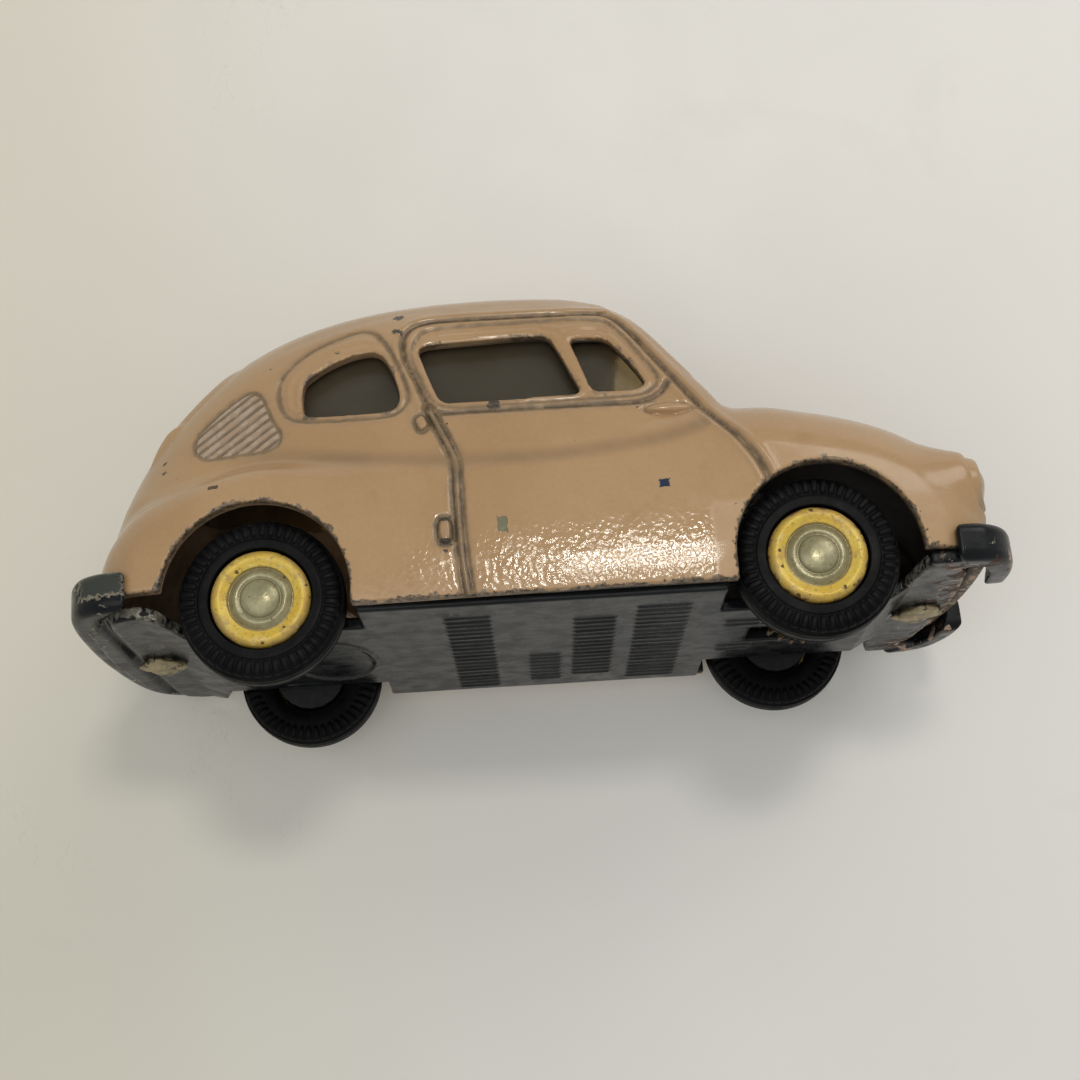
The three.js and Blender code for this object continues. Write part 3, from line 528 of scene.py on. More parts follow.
# ---- base with both bumpers
BASE_Z, BASE_TILT, BASE_THICKNESS = 4.3, 0.02, 1
BASE_PLAN = [
    (-35.6, 0), (-35, -9.6), (-33.4, -12.8), (-31, -14), (-28.9, -14), (-27.6, -9.6), (-13.9, -9.6),
    (-13.9, -14.6), (14, -14.6), (14, -8.3), (28.6, -8.3), (29.3, -13.4), (31.4, -13), (33, -10.4),
    (33.6, -5), (33.8, 0)]
REAR_BUMPER_END = [(-31, 15.2), (-33.4, 14.9), (-35.3, 13.2), (-36.4, 9)]
FRONT_BUMPER = [(31.4, -15.3), (33.8, -14.9), (35.7, -13.2), (36.7, -10), (36.9, -7)]
BUMPER_DEPTH = 2.4
REAR_BUMPER_Z, FRONT_BUMPER_Z = (6.0, 9.2), (4.7, 7.7)
BUMPER_ARM = [(29.5, -12.2), (32.4, -11.8), (34, -12.6), (33.2, -14.2), (29.5, -14.2)]
POSTS_X, POST_HOLE_RADIUS = (-31.5, 31.3), 1.45
TAIL_UNDER_Z, NOSE_UNDER_Z, ARM_THICKNESS = 5.55, 4.9, 1
AXLE_X, AXLE_Z, AXLE_BORE_RADIUS = 21, 6.29, 0.87
LUGS, LUG_Z, LUG_SIZE = [(-AXLE_X, 8.6), (AXLE_X, 7.4)], 6.5, (3.4, 1.1, 3.7)
MOTOR_OPENING_HALF_X, MOTOR_OPENING_HALF_Y = 4, 2.3
# Rows of plain cast dashes: x, length, first y, last y.
DASH_ROWS = [
    (-5.8, 3.2, -10.9, 14), (0.1, 2.4, 2.6, 12.4), (4.1, 3, -8.6, 11.4), (9.4, 3.8, -11.2, 13.6),
    (16.1, 2.6, -5.2, -2.9), (16.1, 2.6, 3, 5.4)]
DASH_PITCH = 1.25
OVAL_X, OVAL_Y, OVAL_HALF_X, OVAL_HALF_Y = -17.6, 0.6, 3.6, 6.4
TAIL_GROOVE_HALF = [(-30.6, -15.2), (-32.2, -14.6), (-33.1, -12.4), (-33.4, -8)]


def bumper_outline(path):
    outside = spline(path, 6)
    along = np.gradient(outside, axis=0)
    along /= np.linalg.norm(along, axis=1, keepdims=True)
    inside = outside + BUMPER_DEPTH * np.stack([-along[:, 1], along[:, 0]], 1)
    return np.vstack([outside, inside[::-1]])


base_chart = Chart((-39, -18), (39, 18), 0.15)


def over_base(points):
    return area_distance(np.array(points, float), base_chart.u, base_chart.v)


base_plan = over_base(BASE_PLAN + mirrored(BASE_PLAN))
rear_bumper = over_base(bumper_outline(REAR_BUMPER_END + [(-36.9, 0)] + mirrored(REAR_BUMPER_END)))
front_bumpers = over_base(bumper_outline(FRONT_BUMPER))
front_bumpers = np.minimum(front_bumpers, front_bumpers[:, ::-1])
arms = over_base(BUMPER_ARM)
arms = np.minimum(arms, arms[:, ::-1])
dashes = np.full(base_chart.u.shape, 9.0)
for row_x, length, first, last in DASH_ROWS:
    for y in np.arange(first, last, DASH_PITCH):
        dashes = np.minimum(dashes, line_distance([(row_x - length / 2, y), (row_x + length / 2, y)],
                                                  base_chart.u, base_chart.v))
oval_u, oval_v = (base_chart.u - OVAL_X) / OVAL_HALF_X, (base_chart.v - OVAL_Y) / OVAL_HALF_Y
oval_line = OVAL_HALF_X * np.abs(np.hypot(oval_u, oval_v) - 1)
cast_marks = np.minimum(dashes, oval_line)
tail_groove = line_distance(spline(TAIL_GROOVE_HALF + mirrored(TAIL_GROOVE_HALF), 6),
                            base_chart.u, base_chart.v)
base_marks = 0.18 * (1 - smoothstep(cast_marks, 0.08, 0.3)) - 0.6 * bell(tail_groove, 0.3)


def base_under(x):
    sides = BASE_Z - BASE_TILT * np.array([-27.6, 27])
    heights = [TAIL_UNDER_Z, TAIL_UNDER_Z, *sides, NOSE_UNDER_Z, NOSE_UNDER_Z]
    return np.interp(x, [-40, -30.2, -27.6, 27, 29.2, 40], heights)


def bar(plan, z, low, high, edge):
    return rounded_max(plan, np.maximum(low - z, z - high), edge)


def box(x, y, z, centre, size, edge):
    reach = [np.abs(v - c) - s / 2 for v, c, s in zip((x, y, z), centre, size)]
    return rounded_max(rounded_max(reach[0], reach[1], edge), reach[2], edge)


def base_shape(x, y, z):
    side = np.abs(y)
    under = base_under(x)
    slab = np.maximum(under - base_chart.read(base_marks, x, y) - z, z - under - BASE_THICKNESS)
    solid = rounded_max(base_chart.read(base_plan, x, y), slab, 0.22)
    bumpers = np.minimum(bar(base_chart.read(rear_bumper, x, y), z, *REAR_BUMPER_Z, 0.75),
                         bar(base_chart.read(front_bumpers, x, y), z, *FRONT_BUMPER_Z, 0.75))
    bumpers = rounded_max(bumpers, 0.2 - body_volume(x, side, z), 0.2)
    solid = rounded_min(solid, bumpers, 0.15)
    arm = bar(base_chart.read(arms, x, y), z, NOSE_UNDER_Z, NOSE_UNDER_Z + ARM_THICKNESS, 0.2)
    solid = rounded_min(solid, arm, 0.2)
    for lug_x, lug_y in LUGS:
        lug = box(x, side, z, (lug_x, lug_y, LUG_Z), LUG_SIZE, 0.25)
        solid = rounded_min(solid, lug, 0.3)
    for post_x in POSTS_X:
        solid = rounded_max(solid, POST_HOLE_RADIUS - np.hypot(x - post_x, y), 0.15)
    opening = np.maximum(np.abs(x - AXLE_X) - MOTOR_OPENING_HALF_X, side - MOTOR_OPENING_HALF_Y)
    solid = rounded_max(solid, -opening, 0.2)
    from_axle = np.hypot(np.abs(x) - AXLE_X, z - AXLE_Z)
    return np.maximum(solid, AXLE_BORE_RADIUS - from_axle)


base, points = cast("car_base", base_shape, (-38, -17, 3.2), (38, 17, 10), BASE_CELL, reach=0.7, share=0.45)
x, y, z = points.T
paint_on(base, "mark", np.where(z < base_under(x) + 0.4, base_chart.read(cast_marks, x, y), 2))
paint_on(base, "edge", np.clip(np.abs(base_chart.read(base_plan, x, y)), 0, 3))
paint_on(base, "groove", np.clip(base_chart.read(tail_groove, x, y), 0, 3))
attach(base, "chassis")
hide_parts("base_plate")


# ---- the posts' peened ends
def peen(name, x, top, seed):
    """The burred end of a cast post, spread over the base."""
    rng = np.random.default_rng(seed)
    rings, sides, widest, depth = 9, 40, 2, 0.75
    turn = np.arange(sides) * 2 * np.pi / sides
    lobes = sum(rng.uniform(0.04, 0.1) * np.cos(k * turn + rng.uniform(0, 6.3)) for k in (2, 3, 5, 7))
    points = [(x, 0, top - depth)]
    for ring in range(1, rings):
        share = ring / (rings - 1)
        spread = math.sin(min(share * 1.35, 1) * math.pi / 2)
        radius = widest * spread * (1 - 0.25 * max(share - 0.74, 0) / 0.26)
        drop = depth - 0.95 * share**2.2
        rough = 1 + lobes * share + rng.normal(0, 0.02, sides)
        dent = 0.12 * np.sin(3 * turn + x) * math.sin(share * math.pi) + rng.normal(0, 0.03, sides)
        points += [(x + radius * r * math.cos(t), radius * r * math.sin(t), top - drop + d)
                   for r, t, d in zip(rough, turn, dent)]
    points.append((x, 0, top + 1.2))
    faces = []
    for k in range(sides):
        n = (k + 1) % sides
        faces.append((0, 1 + n, 1 + k))
        for ring in range(rings - 2):
            a, b = 1 + ring * sides, 1 + (ring + 1) * sides
            faces.append((a + k, a + n, b + n, b + k))
        last = 1 + (rings - 2) * sides
        faces.append((last + k, last + n, len(points) - 1))
    mesh = bpy.data.meshes.new(name)
    mesh.from_pydata([(a * MM, b * MM, c * MM) for a, b, c in points], [], faces)
    mesh.update()
    head = placed(name, mesh)
    head.modifiers.new("smooth", "SUBSURF").render_levels = 2
    head.modifiers["smooth"].levels = 2
    mesh.polygons.foreach_set("use_smooth", [True] * len(mesh.polygons))
    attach(head, "chassis")
    return head


posts = [peen("post_end_rear", POSTS_X[0], TAIL_UNDER_Z, 4),
         peen("post_end_front", POSTS_X[1], NOSE_UNDER_Z, 9)]


# ---- wheels
def turned(profile, sides, push=None):
    """A closed profile of (radius, along) turned about Y. push(radius, along, angle) moves points out."""
    p = np.array(profile, float)
    n = len(p)
    angle = np.arange(sides) * 2 * np.pi / sides
    tangent = np.roll(p, -1, 0) - np.roll(p, 1, 0)
    normal = np.stack([tangent[:, 1], -tangent[:, 0]], 1)
    normal /= np.linalg.norm(normal, axis=1, keepdims=True)
    radius = np.repeat(p[:, :1], sides, 1)
    along = np.repeat(p[:, 1:], sides, 1)
    if push is not None:
        out = push(radius, along, angle[None, :])
        radius, along = radius + out * normal[:, :1], along + out * normal[:, 1:]
    x, z = radius * np.cos(angle), radius * np.sin(angle)
    vertices = np.stack([x, along, z], -1).reshape(-1, 3)
    i, j = np.meshgrid(np.arange(n), np.arange(sides), indexing="ij")
    i2, j2 = (i + 1) % n, (j + 1) % sides
    faces = np.stack([i * sides + j, i2 * sides + j, i2 * sides + j2, i * sides + j2], -1).reshape(-1, 4)
    return vertices, faces


def wheel_object(name, shape, centre, side):
    vertices, faces = shape
    if side < 0:
        vertices = vertices * np.array([-1, -1, 1])
    mesh = mesh_from(name, (vertices + np.array(centre)) * MM, faces)
    mesh.polygons.foreach_set("use_smooth", np.ones(len(faces), bool))
    return placed(name, mesh)


TYRE_OUTLINE = [
    (3.3, 0.6), (3.86, 0.62), (3.92, 1.5), (4.1, 1.6), (4.6, 1.62), (4.75, 1.52), (5, 1.56), (5.4, 1.55),
    (5.75, 1.42), (5.95, 1.22), (6.08, 1.08), (6.2, 0.95), (6.27, 0.7), (6.29, 0.3), (6.29, -0.3),
    (6.27, -0.7), (6.2, -0.95), (6.08, -1.08), (5.95, -1.22), (5.75, -1.42), (5.4, -1.55), (5, -1.56),
    (4.6, -1.6), (3.9, -1.55), (3.4, -1.3), (3.25, -1)]
RIBS, RIB_HEIGHT, LINE_DEPTH = 50, 0.2, 0.12


def tyre_push(radius, along, angle):
    wave = np.cos(RIBS * angle)
    ribs = smoothstep(wave, -0.55, 0.1)
    band = smoothstep(radius, 4.8, 4.95) * (1 - smoothstep(radius, 5.85, 6.0))
    line = bell(radius - 6.14, 0.06) + bell(np.abs(along) - 0.55, 0.09) * (radius > 6.1)
    return RIB_HEIGHT * band * ribs - LINE_DEPTH * line


DISC_OUTLINE = [
    (0, 1.98), (0.35, 1.97), (0.8, 1.9), (1.2, 1.76), (1.42, 1.62), (1.52, 1.51), (1.6, 1.5), (1.7, 1.56),
    (1.85, 1.6), (2, 1.55), (2.2, 1.38), (2.38, 1.26), (2.46, 1.28), (2.5, 1.46), (2.56, 1.54),
    (2.75, 1.62), (3, 1.74), (3.2, 1.78), (3.4, 1.72), (3.6, 1.58), (3.72, 1.4), (3.77, 1.2), (3.72, 1.05),
    (3.6, 1)]
TRACK, DISC_THICKNESS, DISC_SIDES = 25.8, 0.24, 120
tyre_ring = spline(TYRE_OUTLINE, 3, closed=True)[::-1]
tyre_shape = turned(tyre_ring, RIBS * (8), tyre_push)
disc_face = spline(DISC_OUTLINE, 4)
disc_face[:, 0] = np.maximum(disc_face[:, 0], 0)
disc_ring = np.vstack([disc_face[::-1], disc_face[:-8] - np.array([0, DISC_THICKNESS])])
disc_shape = turned(disc_ring[::-1], DISC_SIDES)
tyres, discs = [], []
for place, x, body_name in (("front", AXLE_X, "front_wheels"), ("rear", -AXLE_X, "rear_wheels")):
    for hand, side in (("left", 1), ("right", -1)):
        centre = (x, side * TRACK / 2, AXLE_Z)
        tyre = wheel_object(f"tyre_rubber_{place}_{hand}", tyre_shape, centre, side)
        disc = wheel_object(f"disc_pressed_{place}_{hand}", disc_shape, centre, side)
        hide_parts(f"tyre_{place}_{hand}")
        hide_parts(f"wheel_disc_{place}_{hand}")
        for piece, slot_name in ((tyre, "tyre"), (disc, "wheel_tin")):
            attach(piece, body_name)
        tyres.append(tyre)
        discs.append(disc)


# ---- material helpers
class Paint:
    """One material and short calls for its nodes. Lengths are in millimetres."""

    def __init__(self, name):
        self.material = bpy.data.materials.new(name)
        self.material.use_nodes = True
        self.tree = self.material.node_tree
        self.shader = self.tree.nodes["Principled BSDF"]
        self.colour = None
        self.place = self.scaled(self.node("TexCoord")["Object"], (1 / MM, 1 / MM, 1 / MM))
        self.x, self.y, self.z = self.node("SeparateXYZ", {0: self.place})

    def plug(self, socket, value):
        if isinstance(value, bpy.types.NodeSocket):
            self.tree.links.new(value, socket)
        else:
            socket.default_value = (*value, 1) if socket.type == "RGBA" else value

    def node(self, kind, inputs=(), **settings):
        """The outputs of a new node. Inputs are given by name or by place."""
        node = self.tree.nodes.new("ShaderNode" + kind)
        for name, value in settings.items():
            setattr(node, name, value)
        for socket, value in dict(inputs).items():
            self.plug(node.inputs[socket], value)
        return node.outputs

    def scaled(self, place, factors):
        return self.node("VectorMath", {0: place, 1: factors}, operation="MULTIPLY")[0]

    def value(self, name):
        return self.node("Attribute", attribute_name=name)["Fac"]

    def math(self, operation, first, *others):
        """The values worked together by one operation, from left to right."""
        total = first
        for other in others or [0.0]:
            total = self.node("Math", {0: total, 1: other}, operation=operation)[0]
        return total

    def add(self, *values):
        return self.math("ADD", *values)

    def times(self, *values):
        return self.math("MULTIPLY", *values)

    def most(self, *values):
        return self.math("MAXIMUM", *values)

    def minus(self, value, other):
        return self.math("SUBTRACT", value, other)

    def absolute(self, value):
        return self.math("ABSOLUTE", value)

    def noise(self, per_mm, detail=3.0, rough=0.55, place=None, warp=0.0):
        inputs = {"Vector": place or self.place, "Scale": per_mm, "Detail": detail, "Roughness": rough,
                  "Distortion": warp}
        return self.node("TexNoise", inputs)["Fac"]

    def cells(self, per_mm):
        """Distance to the nearest of many scattered points, in cell widths, and a random value for each."""
        found = self.node("TexVoronoi", {"Vector": self.place, "Scale": per_mm})
        return found["Distance"], self.node("SeparateXYZ", {0: found["Color"]})[0]

    def band(self, value, low, high, bottom=0.0, top=1.0):
        """A smooth step: bottom where value is low, top where it is high."""
        if low > high:
            low, high, bottom, top = high, low, top, bottom
        inputs = {"Value": value, "From Min": low, "From Max": high, "To Min": bottom, "To Max": top}
        return self.node("MapRange", inputs, interpolation_type="SMOOTHSTEP")["Result"]

    def cloud(self, per_mm, detail, *steps, **settings):
        """Noise cut to a smooth step."""
        return self.band(self.noise(per_mm, detail, **settings), *steps)

    def mix(self, share, a, b):
        return self.node("Mix", {"Factor": share, 6: a, 7: b}, data_type="RGBA")[2]

    def coat(self, share, tone):
        """Lays a tone over the colour so far."""
        self.colour = self.mix(share, self.colour, tone)

    def shade(self, colour, amount):
        """The colour multiplied by a grey amount."""
        return self.node("VectorMath", {0: colour, "Scale": amount}, operation="SCALE")[0]

    def blot(self, x, z, width, height, rough=0.25):
        """1 inside a ragged patch of the right-hand side."""
        wide = self.absolute(self.math("DIVIDE", self.minus(self.x, x), width / 2))
        tall = self.absolute(self.math("DIVIDE", self.minus(self.z, z), height / 2))
        ragged = self.add(self.most(wide, tall), self.cloud(3.5, 3, 0.2, 0.8, -rough, rough))
        return self.times(self.band(ragged, 1.1, 0.9), self.band(self.y, -8, -9))

    def bump(self, *heights):
        """Heights in millimetres."""
        normal = self.node("Bump", {"Height": self.add(*heights), "Distance": MM, "Strength": 1})["Normal"]
        self.plug(self.shader.inputs["Normal"], normal)

    def finish(self, roughness, metal=0.0, **constants):
        inputs = {"Base Color": self.colour, "Roughness": roughness, "Metallic": metal}
        inputs.update({name.replace("_", " "): value for name, value in constants.items()})
        for name, value in inputs.items():
            self.plug(self.shader.inputs[name], value)
        return self.material


# ---- body enamel
ENAMEL = (0.395, 0.242, 0.118)
ENAMEL_PALE = (0.435, 0.275, 0.14)
ENAMEL_DEEP = (0.34, 0.20, 0.092)
GRIME = (0.185, 0.125, 0.068)
GRIME_CORE = (0.075, 0.05, 0.026)
BARE = (0.115, 0.078, 0.045)
BARE_LIGHT = (0.27, 0.195, 0.125)
PIT = (0.022, 0.021, 0.02)
INNER_BROWN = (0.40, 0.27, 0.165)
LOUVRE_TILT, LOUVRE_PITCH = 36, 0.72


def ragged(paint, distance, reach, fine):
    """A distance made uneven, so that an edge drawn at one value of it wanders."""
    wander = paint.cloud(0.7, 2, 0.25, 0.75, -reach, reach)
    nibble = paint.band(paint.noise(fine, 4, 0.65), 0.25, 0.75, -0.22, 0.22)
    return paint.add(distance, wander, nibble)


def body_enamel():
    p = Paint("body_enamel")
    rim, pane, seam = p.value("rim"), p.value("pane"), p.value("seam")
    louvre, inside, lens = p.value("louvre"), p.value("inside"), p.value("lens")
    p.colour = p.mix(p.cloud(0.07, 3, 0.35, 0.65), ENAMEL, ENAMEL_PALE)
    p.coat(p.cloud(0.35, 5, 0.55, 0.8, 0, 0.45, rough=0.6), ENAMEL_DEEP)
    p.colour = p.shade(p.colour, p.cloud(3, 4, 0.2, 0.8, 0.965, 1.035))
    # Rubbed dirt lies beside the grooves and in them.
    halo = p.times(p.band(seam, 1.0, 0.1), p.cloud(0.9, 4, 0.35, 0.75, 0.1, 0.6))
    p.coat(halo, (0.29, 0.19, 0.11))
    uneven = p.add(seam, p.cloud(1.4, 4, 0.2, 0.8, -0.09, 0.09))
    groove = p.times(p.band(uneven, 0.42, 0.18), p.cloud(0.5, 3, 0.25, 0.6, 0.6, 0.95))
    p.coat(groove, GRIME)
    p.coat(p.band(uneven, 0.15, 0.05, 0, 0.85), GRIME_CORE)
    # Painted shade: a soft dark band along the belt crease, fading out towards the tail.
    crease_shade = p.times(p.band(p.value("crease"), 1.1, 0.0), p.cloud(0.3, 2, 0.3, 0.7, 0.5, 0.75))
    crease_shade = p.times(crease_shade, p.band(p.x, -25, -19))
    p.coat(crease_shade, (0.255, 0.165, 0.085))
    # Louvre: slanting ribs, painted dark in their valleys as shade and lighter along their crests as painted
    # highlight, with paler rubbed patches on the crests.
    tilt = math.radians(LOUVRE_TILT)
    across = p.minus(p.times(p.z, math.cos(tilt)), p.times(p.x, math.sin(tilt)))
    across = p.add(across, p.cloud(0.3, 2, 0.2, 0.8, -0.06, 0.06))
    ribs = p.math("SINE", p.times(across, 2 * math.pi / LOUVRE_PITCH))
    in_louvre = p.times(p.band(louvre, -0.02, -0.2), p.band(inside, 0.5, 0.3))
    crest_highlight = p.band(p.add(ribs, p.cloud(0.9, 4, 0.2, 0.8, -0.35, 0.35)), -0.95, -0.3)
    rib_shade_and_highlight = p.mix(crest_highlight, (0.19, 0.13, 0.08), (0.37, 0.26, 0.17))
    rib_shade_and_highlight = p.mix(p.times(crest_highlight, p.cloud(1.3, 4, 0.45, 0.6, 0, 0.6)), rib_shade_and_highlight, (0.45, 0.37, 0.28))
    p.coat(in_louvre, rib_shade_and_highlight)
    # Small chips: scattered, and closer together by the windows and the roof's edge.
    spot, which = p.cells(0.42)
    size = p.band(which, 0.35, 1.0, 0, 0.15)
    near = p.most(p.band(pane, 1.8, 0.3), p.band(p.z, 25.5, 29, 0, 0.8), p.band(rim, 2.2, 0.6, 0, 0.7))
    size = p.times(size, p.add(p.times(near, 0.85), 0.42), p.cloud(0.25, 2, 0.42, 0.6, 0.25, 1.5))
    spot = p.add(spot, p.cloud(2.6, 4, 0.25, 0.75, -0.07, 0.09, rough=0.65))
    chip = p.band(p.minus(spot, size), 0.012, -0.004)
    # Bare lips along the arches, sills and lower edges.
    lip = ragged(p, rim, 0.2, 1.6)
    bare = p.band(lip, 0.2, 0.08)
    blister = p.times(p.band(rim, 2.0, 0.5), p.cloud(1.1, 5, 0.68, 0.7, rough=0.7))
    window_lip = p.times(p.band(ragged(p, pane, 0.3, 2.6), 0.16, 0.06), p.cloud(0.4, 2, 0.4, 0.6))
    chip = p.times(chip, p.band(inside, 0.25, 0.1))
    bare = p.times(p.most(bare, blister, window_lip, chip), p.band(inside, 0.9, 0.6))
    metal_tone = p.mix(p.cloud(1.7, 5, 0.38, 0.62, rough=0.65), BARE, BARE_LIGHT)
    pits = p.cloud(2.6, 5, 0.52, 0.58, rough=0.7)
    metal_tone = p.mix(p.most(pits, p.times(chip, 0.85)), metal_tone, PIT)
    rusty = p.cloud(0.8, 3, 0.6, 0.68, 0, 0.7)
    metal_tone = p.mix(rusty, metal_tone, (0.16, 0.10, 0.06))
    p.coat(bare, metal_tone)
    # Three marks of its own on the right-hand side.
    blue = p.blot(9.9, 12.3, 0.75, 0.6)
    green = p.blot(-2.5, 10.0, 0.7, 1.15)
    brown = p.blot(-24.3, 15.2, 0.75, 0.35)
    p.coat(blue, (0.012, 0.022, 0.06))
    p.coat(green, (0.17, 0.165, 0.10))
    p.coat(brown, (0.06, 0.025, 0.012))
    hinge_wear = p.most(p.blot(-6.8, 10.75, 0.85, 0.4), p.blot(-6.75, 8.95, 0.75, 0.5),
                        p.blot(-6.85, 8.25, 0.35, 0.25))
    p.coat(p.times(hinge_wear, 0.9), (0.05, 0.042, 0.03))
    # Lamp glass and the dark line round it.
    glass = p.times(p.band(lens, 2.35, 2.25), p.band(p.x, 34.2, 34.6))
    line = p.times(p.band(p.absolute(p.add(lens, -2.5)), 0.28, 0.1), p.band(p.x, 34, 34.4))
    p.coat(p.times(line, 0.85), (0.05, 0.04, 0.03))
    p.coat(glass, (0.37, 0.27, 0.165))
    # The inner wall got only a brown mist of paint; towards the front it is painted near-black as shade in
    # the front arch.
    mist_and_front_shade = p.mix(p.cloud(0.4, 4, 0.3, 0.7), INNER_BROWN, (0.27, 0.17, 0.10))
    mist_and_front_shade = p.shade(mist_and_front_shade, p.band(p.x, -8, 4, 1, 0.07))
    within = p.band(inside, 0.35, 0.8)
    p.coat(within, mist_and_front_shade)
    gloss = p.cloud(0.5, 4, 0.25, 0.75, 0.13, 0.24)
    fender_turn = p.times(p.band(p.x, 12.9, 13.5), p.band(p.z, 11, 9.6))
    gloss = p.add(gloss, p.band(p.z, 12.0, 8.5, 0, -0.05), p.times(fender_turn, 0.35))
    gloss = p.add(gloss, p.times(groove, 0.4), p.times(in_louvre, 0.25))
    gloss = p.add(gloss, p.times(bare, 0.3), p.times(within, 0.35))
    # Orange peel everywhere, and thick pebbled enamel low on the sides.
    low = p.times(p.band(p.z, 11.5, 8.0), p.cloud(0.15, 2, 0.3, 0.5, 0.6, 1))
    low = p.times(low, p.band(p.x, -14, 4, 0.3, 1), p.band(p.x, 12.9, 13.5, 1, 0.1))
    pebbles = p.times(p.cloud(2.4, 2, 0.3, 0.75, rough=0.35), low, 0.024)
    peel = p.times(p.noise(0.4, 1), 0.03)
    grain = p.times(p.noise(5, 3), 0.004)
    dip = p.times(p.most(bare, blue, green, brown), -0.07)
    rib_height = p.times(p.band(ribs, -0.95, 0.2), in_louvre, 0.14)
    p.bump(pebbles, peel, grain, dip, rib_height, p.times(bare, p.noise(2.6, 4), 0.12))
    return p.finish(gloss, p.times(bare, 0.05), Coat_Weight=0.12, Coat_Roughness=0.06, IOR=1.5)


def base_enamel():
    p = Paint("base_enamel")
    mark, edge = p.value("mark"), p.value("edge")
    p.colour = p.mix(p.cloud(0.12, 4, 0.35, 0.7), (0.005, 0.0056, 0.0068), (0.012, 0.013, 0.0145))
    streak = p.noise(1.0, 5, 0.65, p.scaled(p.place, (0.35, 1.5, 1)))
    p.coat(p.band(streak, 0.55, 0.78, 0, 0.3), (0.024, 0.024, 0.023))
    under = p.band(p.z, 6.2, 5.2)
    # Painted shade: near-black rings hug the edges of the raised cast marks on the underside.
    dust_and_shade = p.times(p.band(p.absolute(p.add(mark, -0.32)), 0.2, 0.04), under,
                   p.cloud(0.8, 4, 0.4, 0.65, 0, 0.3))
    p.coat(dust_and_shade, (0.004, 0.004, 0.005))
    joint = p.times(p.band(p.value("groove"), 0.3, 0.1), under)
    p.coat(joint, (0.002, 0.002, 0.002))
    top = p.times(p.band(mark, 0.16, 0.02), under, p.cloud(1.1, 4, 0.48, 0.64, 0, 0.6))
    p.coat(top, (0.10, 0.10, 0.095))
    # Worn edges show grey metal, and larger flakes towards the ends show metal and primer.
    from_middle = p.absolute(p.x)
    worn = p.times(p.band(ragged(p, edge, 0.35, 2.2), 0.22, 0.1), p.cloud(0.35, 3, 0.42, 0.56),
                   p.band(from_middle, 24, 28))
    flake = p.times(p.cloud(0.33, 5, 0.655, 0.665, rough=0.62, warp=0.6), p.band(from_middle, 24, 31))
    bumper_wear = p.times(p.cloud(0.8, 5, 0.66, 0.675, rough=0.7), p.band(from_middle, 30.5, 33))
    under_nose = p.times(p.band(p.x, 29.5, 31.5), under)
    nose = p.times(under_nose, p.cloud(0.42, 4, 0.565, 0.58, rough=0.6, warp=0.5))
    nose_rim = p.times(under_nose, p.band(ragged(p, edge, 0.5, 1.6), 0.55, 0.42))
    bare = p.most(worn, flake, bumper_wear, nose, nose_rim)
    metal = p.mix(p.cloud(1.4, 5, 0.4, 0.6, rough=0.65), (0.11, 0.105, 0.085), (0.34, 0.32, 0.25))
    metal = p.mix(p.cloud(0.9, 3, 0.58, 0.66, 0, 0.8), metal, (0.50, 0.33, 0.20))
    primer = p.mix(p.cloud(0.7, 4, 0.48, 0.53, rough=0.6), (0.075, 0.038, 0.022), (0.46, 0.33, 0.25))
    metal = p.mix(p.most(nose, nose_rim), metal, primer)
    p.coat(bare, metal)
    scar = p.blot(-32.8, 8.2, 3.2, 1.6, 0.2)
    scar_rim = p.times(p.blot(-32.8, 8.15, 3.5, 1.95, 0.3), p.minus(1, scar))
    p.coat(scar, (0.045, 0.05, 0.042))
    p.coat(p.times(scar_rim, 0.8), (0.27, 0.24, 0.18))
    gloss = p.add(p.cloud(0.6, 4, 0.3, 0.7, 0.18, 0.36), p.times(bare, 0.3), p.times(dust_and_shade, 0.2))
    wave = p.times(p.noise(0.3, 2), 0.08)
    crinkle = p.times(p.noise(1.1, 3, 0.5, p.scaled(p.place, (0.6, 1.4, 1))), 0.022)
    p.bump(wave, crinkle, p.times(bare, -0.09), p.times(p.noise(5, 2), 0.004))
    return p.finish(gloss, p.times(bare, 0.3), IOR=1.38, Specular_IOR_Level=0.32)


def peened_zinc():
    p = Paint("peened_zinc")
    p.colour = p.mix(p.cloud(0.8, 4, 0.35, 0.65), (0.30, 0.24, 0.13), (0.50, 0.40, 0.24))
    p.coat(p.cloud(1.3, 4, 0.56, 0.62, rough=0.65), (0.05, 0.045, 0.04))
    p.coat(p.cloud(2.0, 3, 0.6, 0.7, 0, 0.8), (0.58, 0.53, 0.42))
    p.bump(p.times(p.noise(1.4, 5, 0.7), 0.35))
    return p.finish(p.cloud(1.5, 3, 0.3, 0.7, 0.35, 0.6), 0.55)


def clear_plastic():
    p = Paint("aged_clear_plastic")
    haze = p.noise(0.25, 4)
    scratch = p.band(p.noise(1.3, 6, 0.7, p.scaled(p.place, (0.5, 0.5, 3.2))), 0.6, 0.75)
    p.colour = p.mix(p.band(haze, 0.35, 0.7), (0.72, 0.635, 0.46), (0.62, 0.53, 0.36))
    dust_and_shade, which = p.cells(1.1)
    fleck = p.times(p.band(dust_and_shade, 0.1, 0.05), p.band(which, 0.8, 0.85))
    p.coat(fleck, (0.6, 0.55, 0.48))
    rough = p.add(p.band(haze, 0.3, 0.7, 0.04, 0.12), p.times(scratch, 0.12))
    p.bump(p.times(p.noise(0.2, 2), 0.12), p.times(scratch, 0.006))
    return p.finish(rough, 0.0, Transmission_Weight=0.95, IOR=1.4)


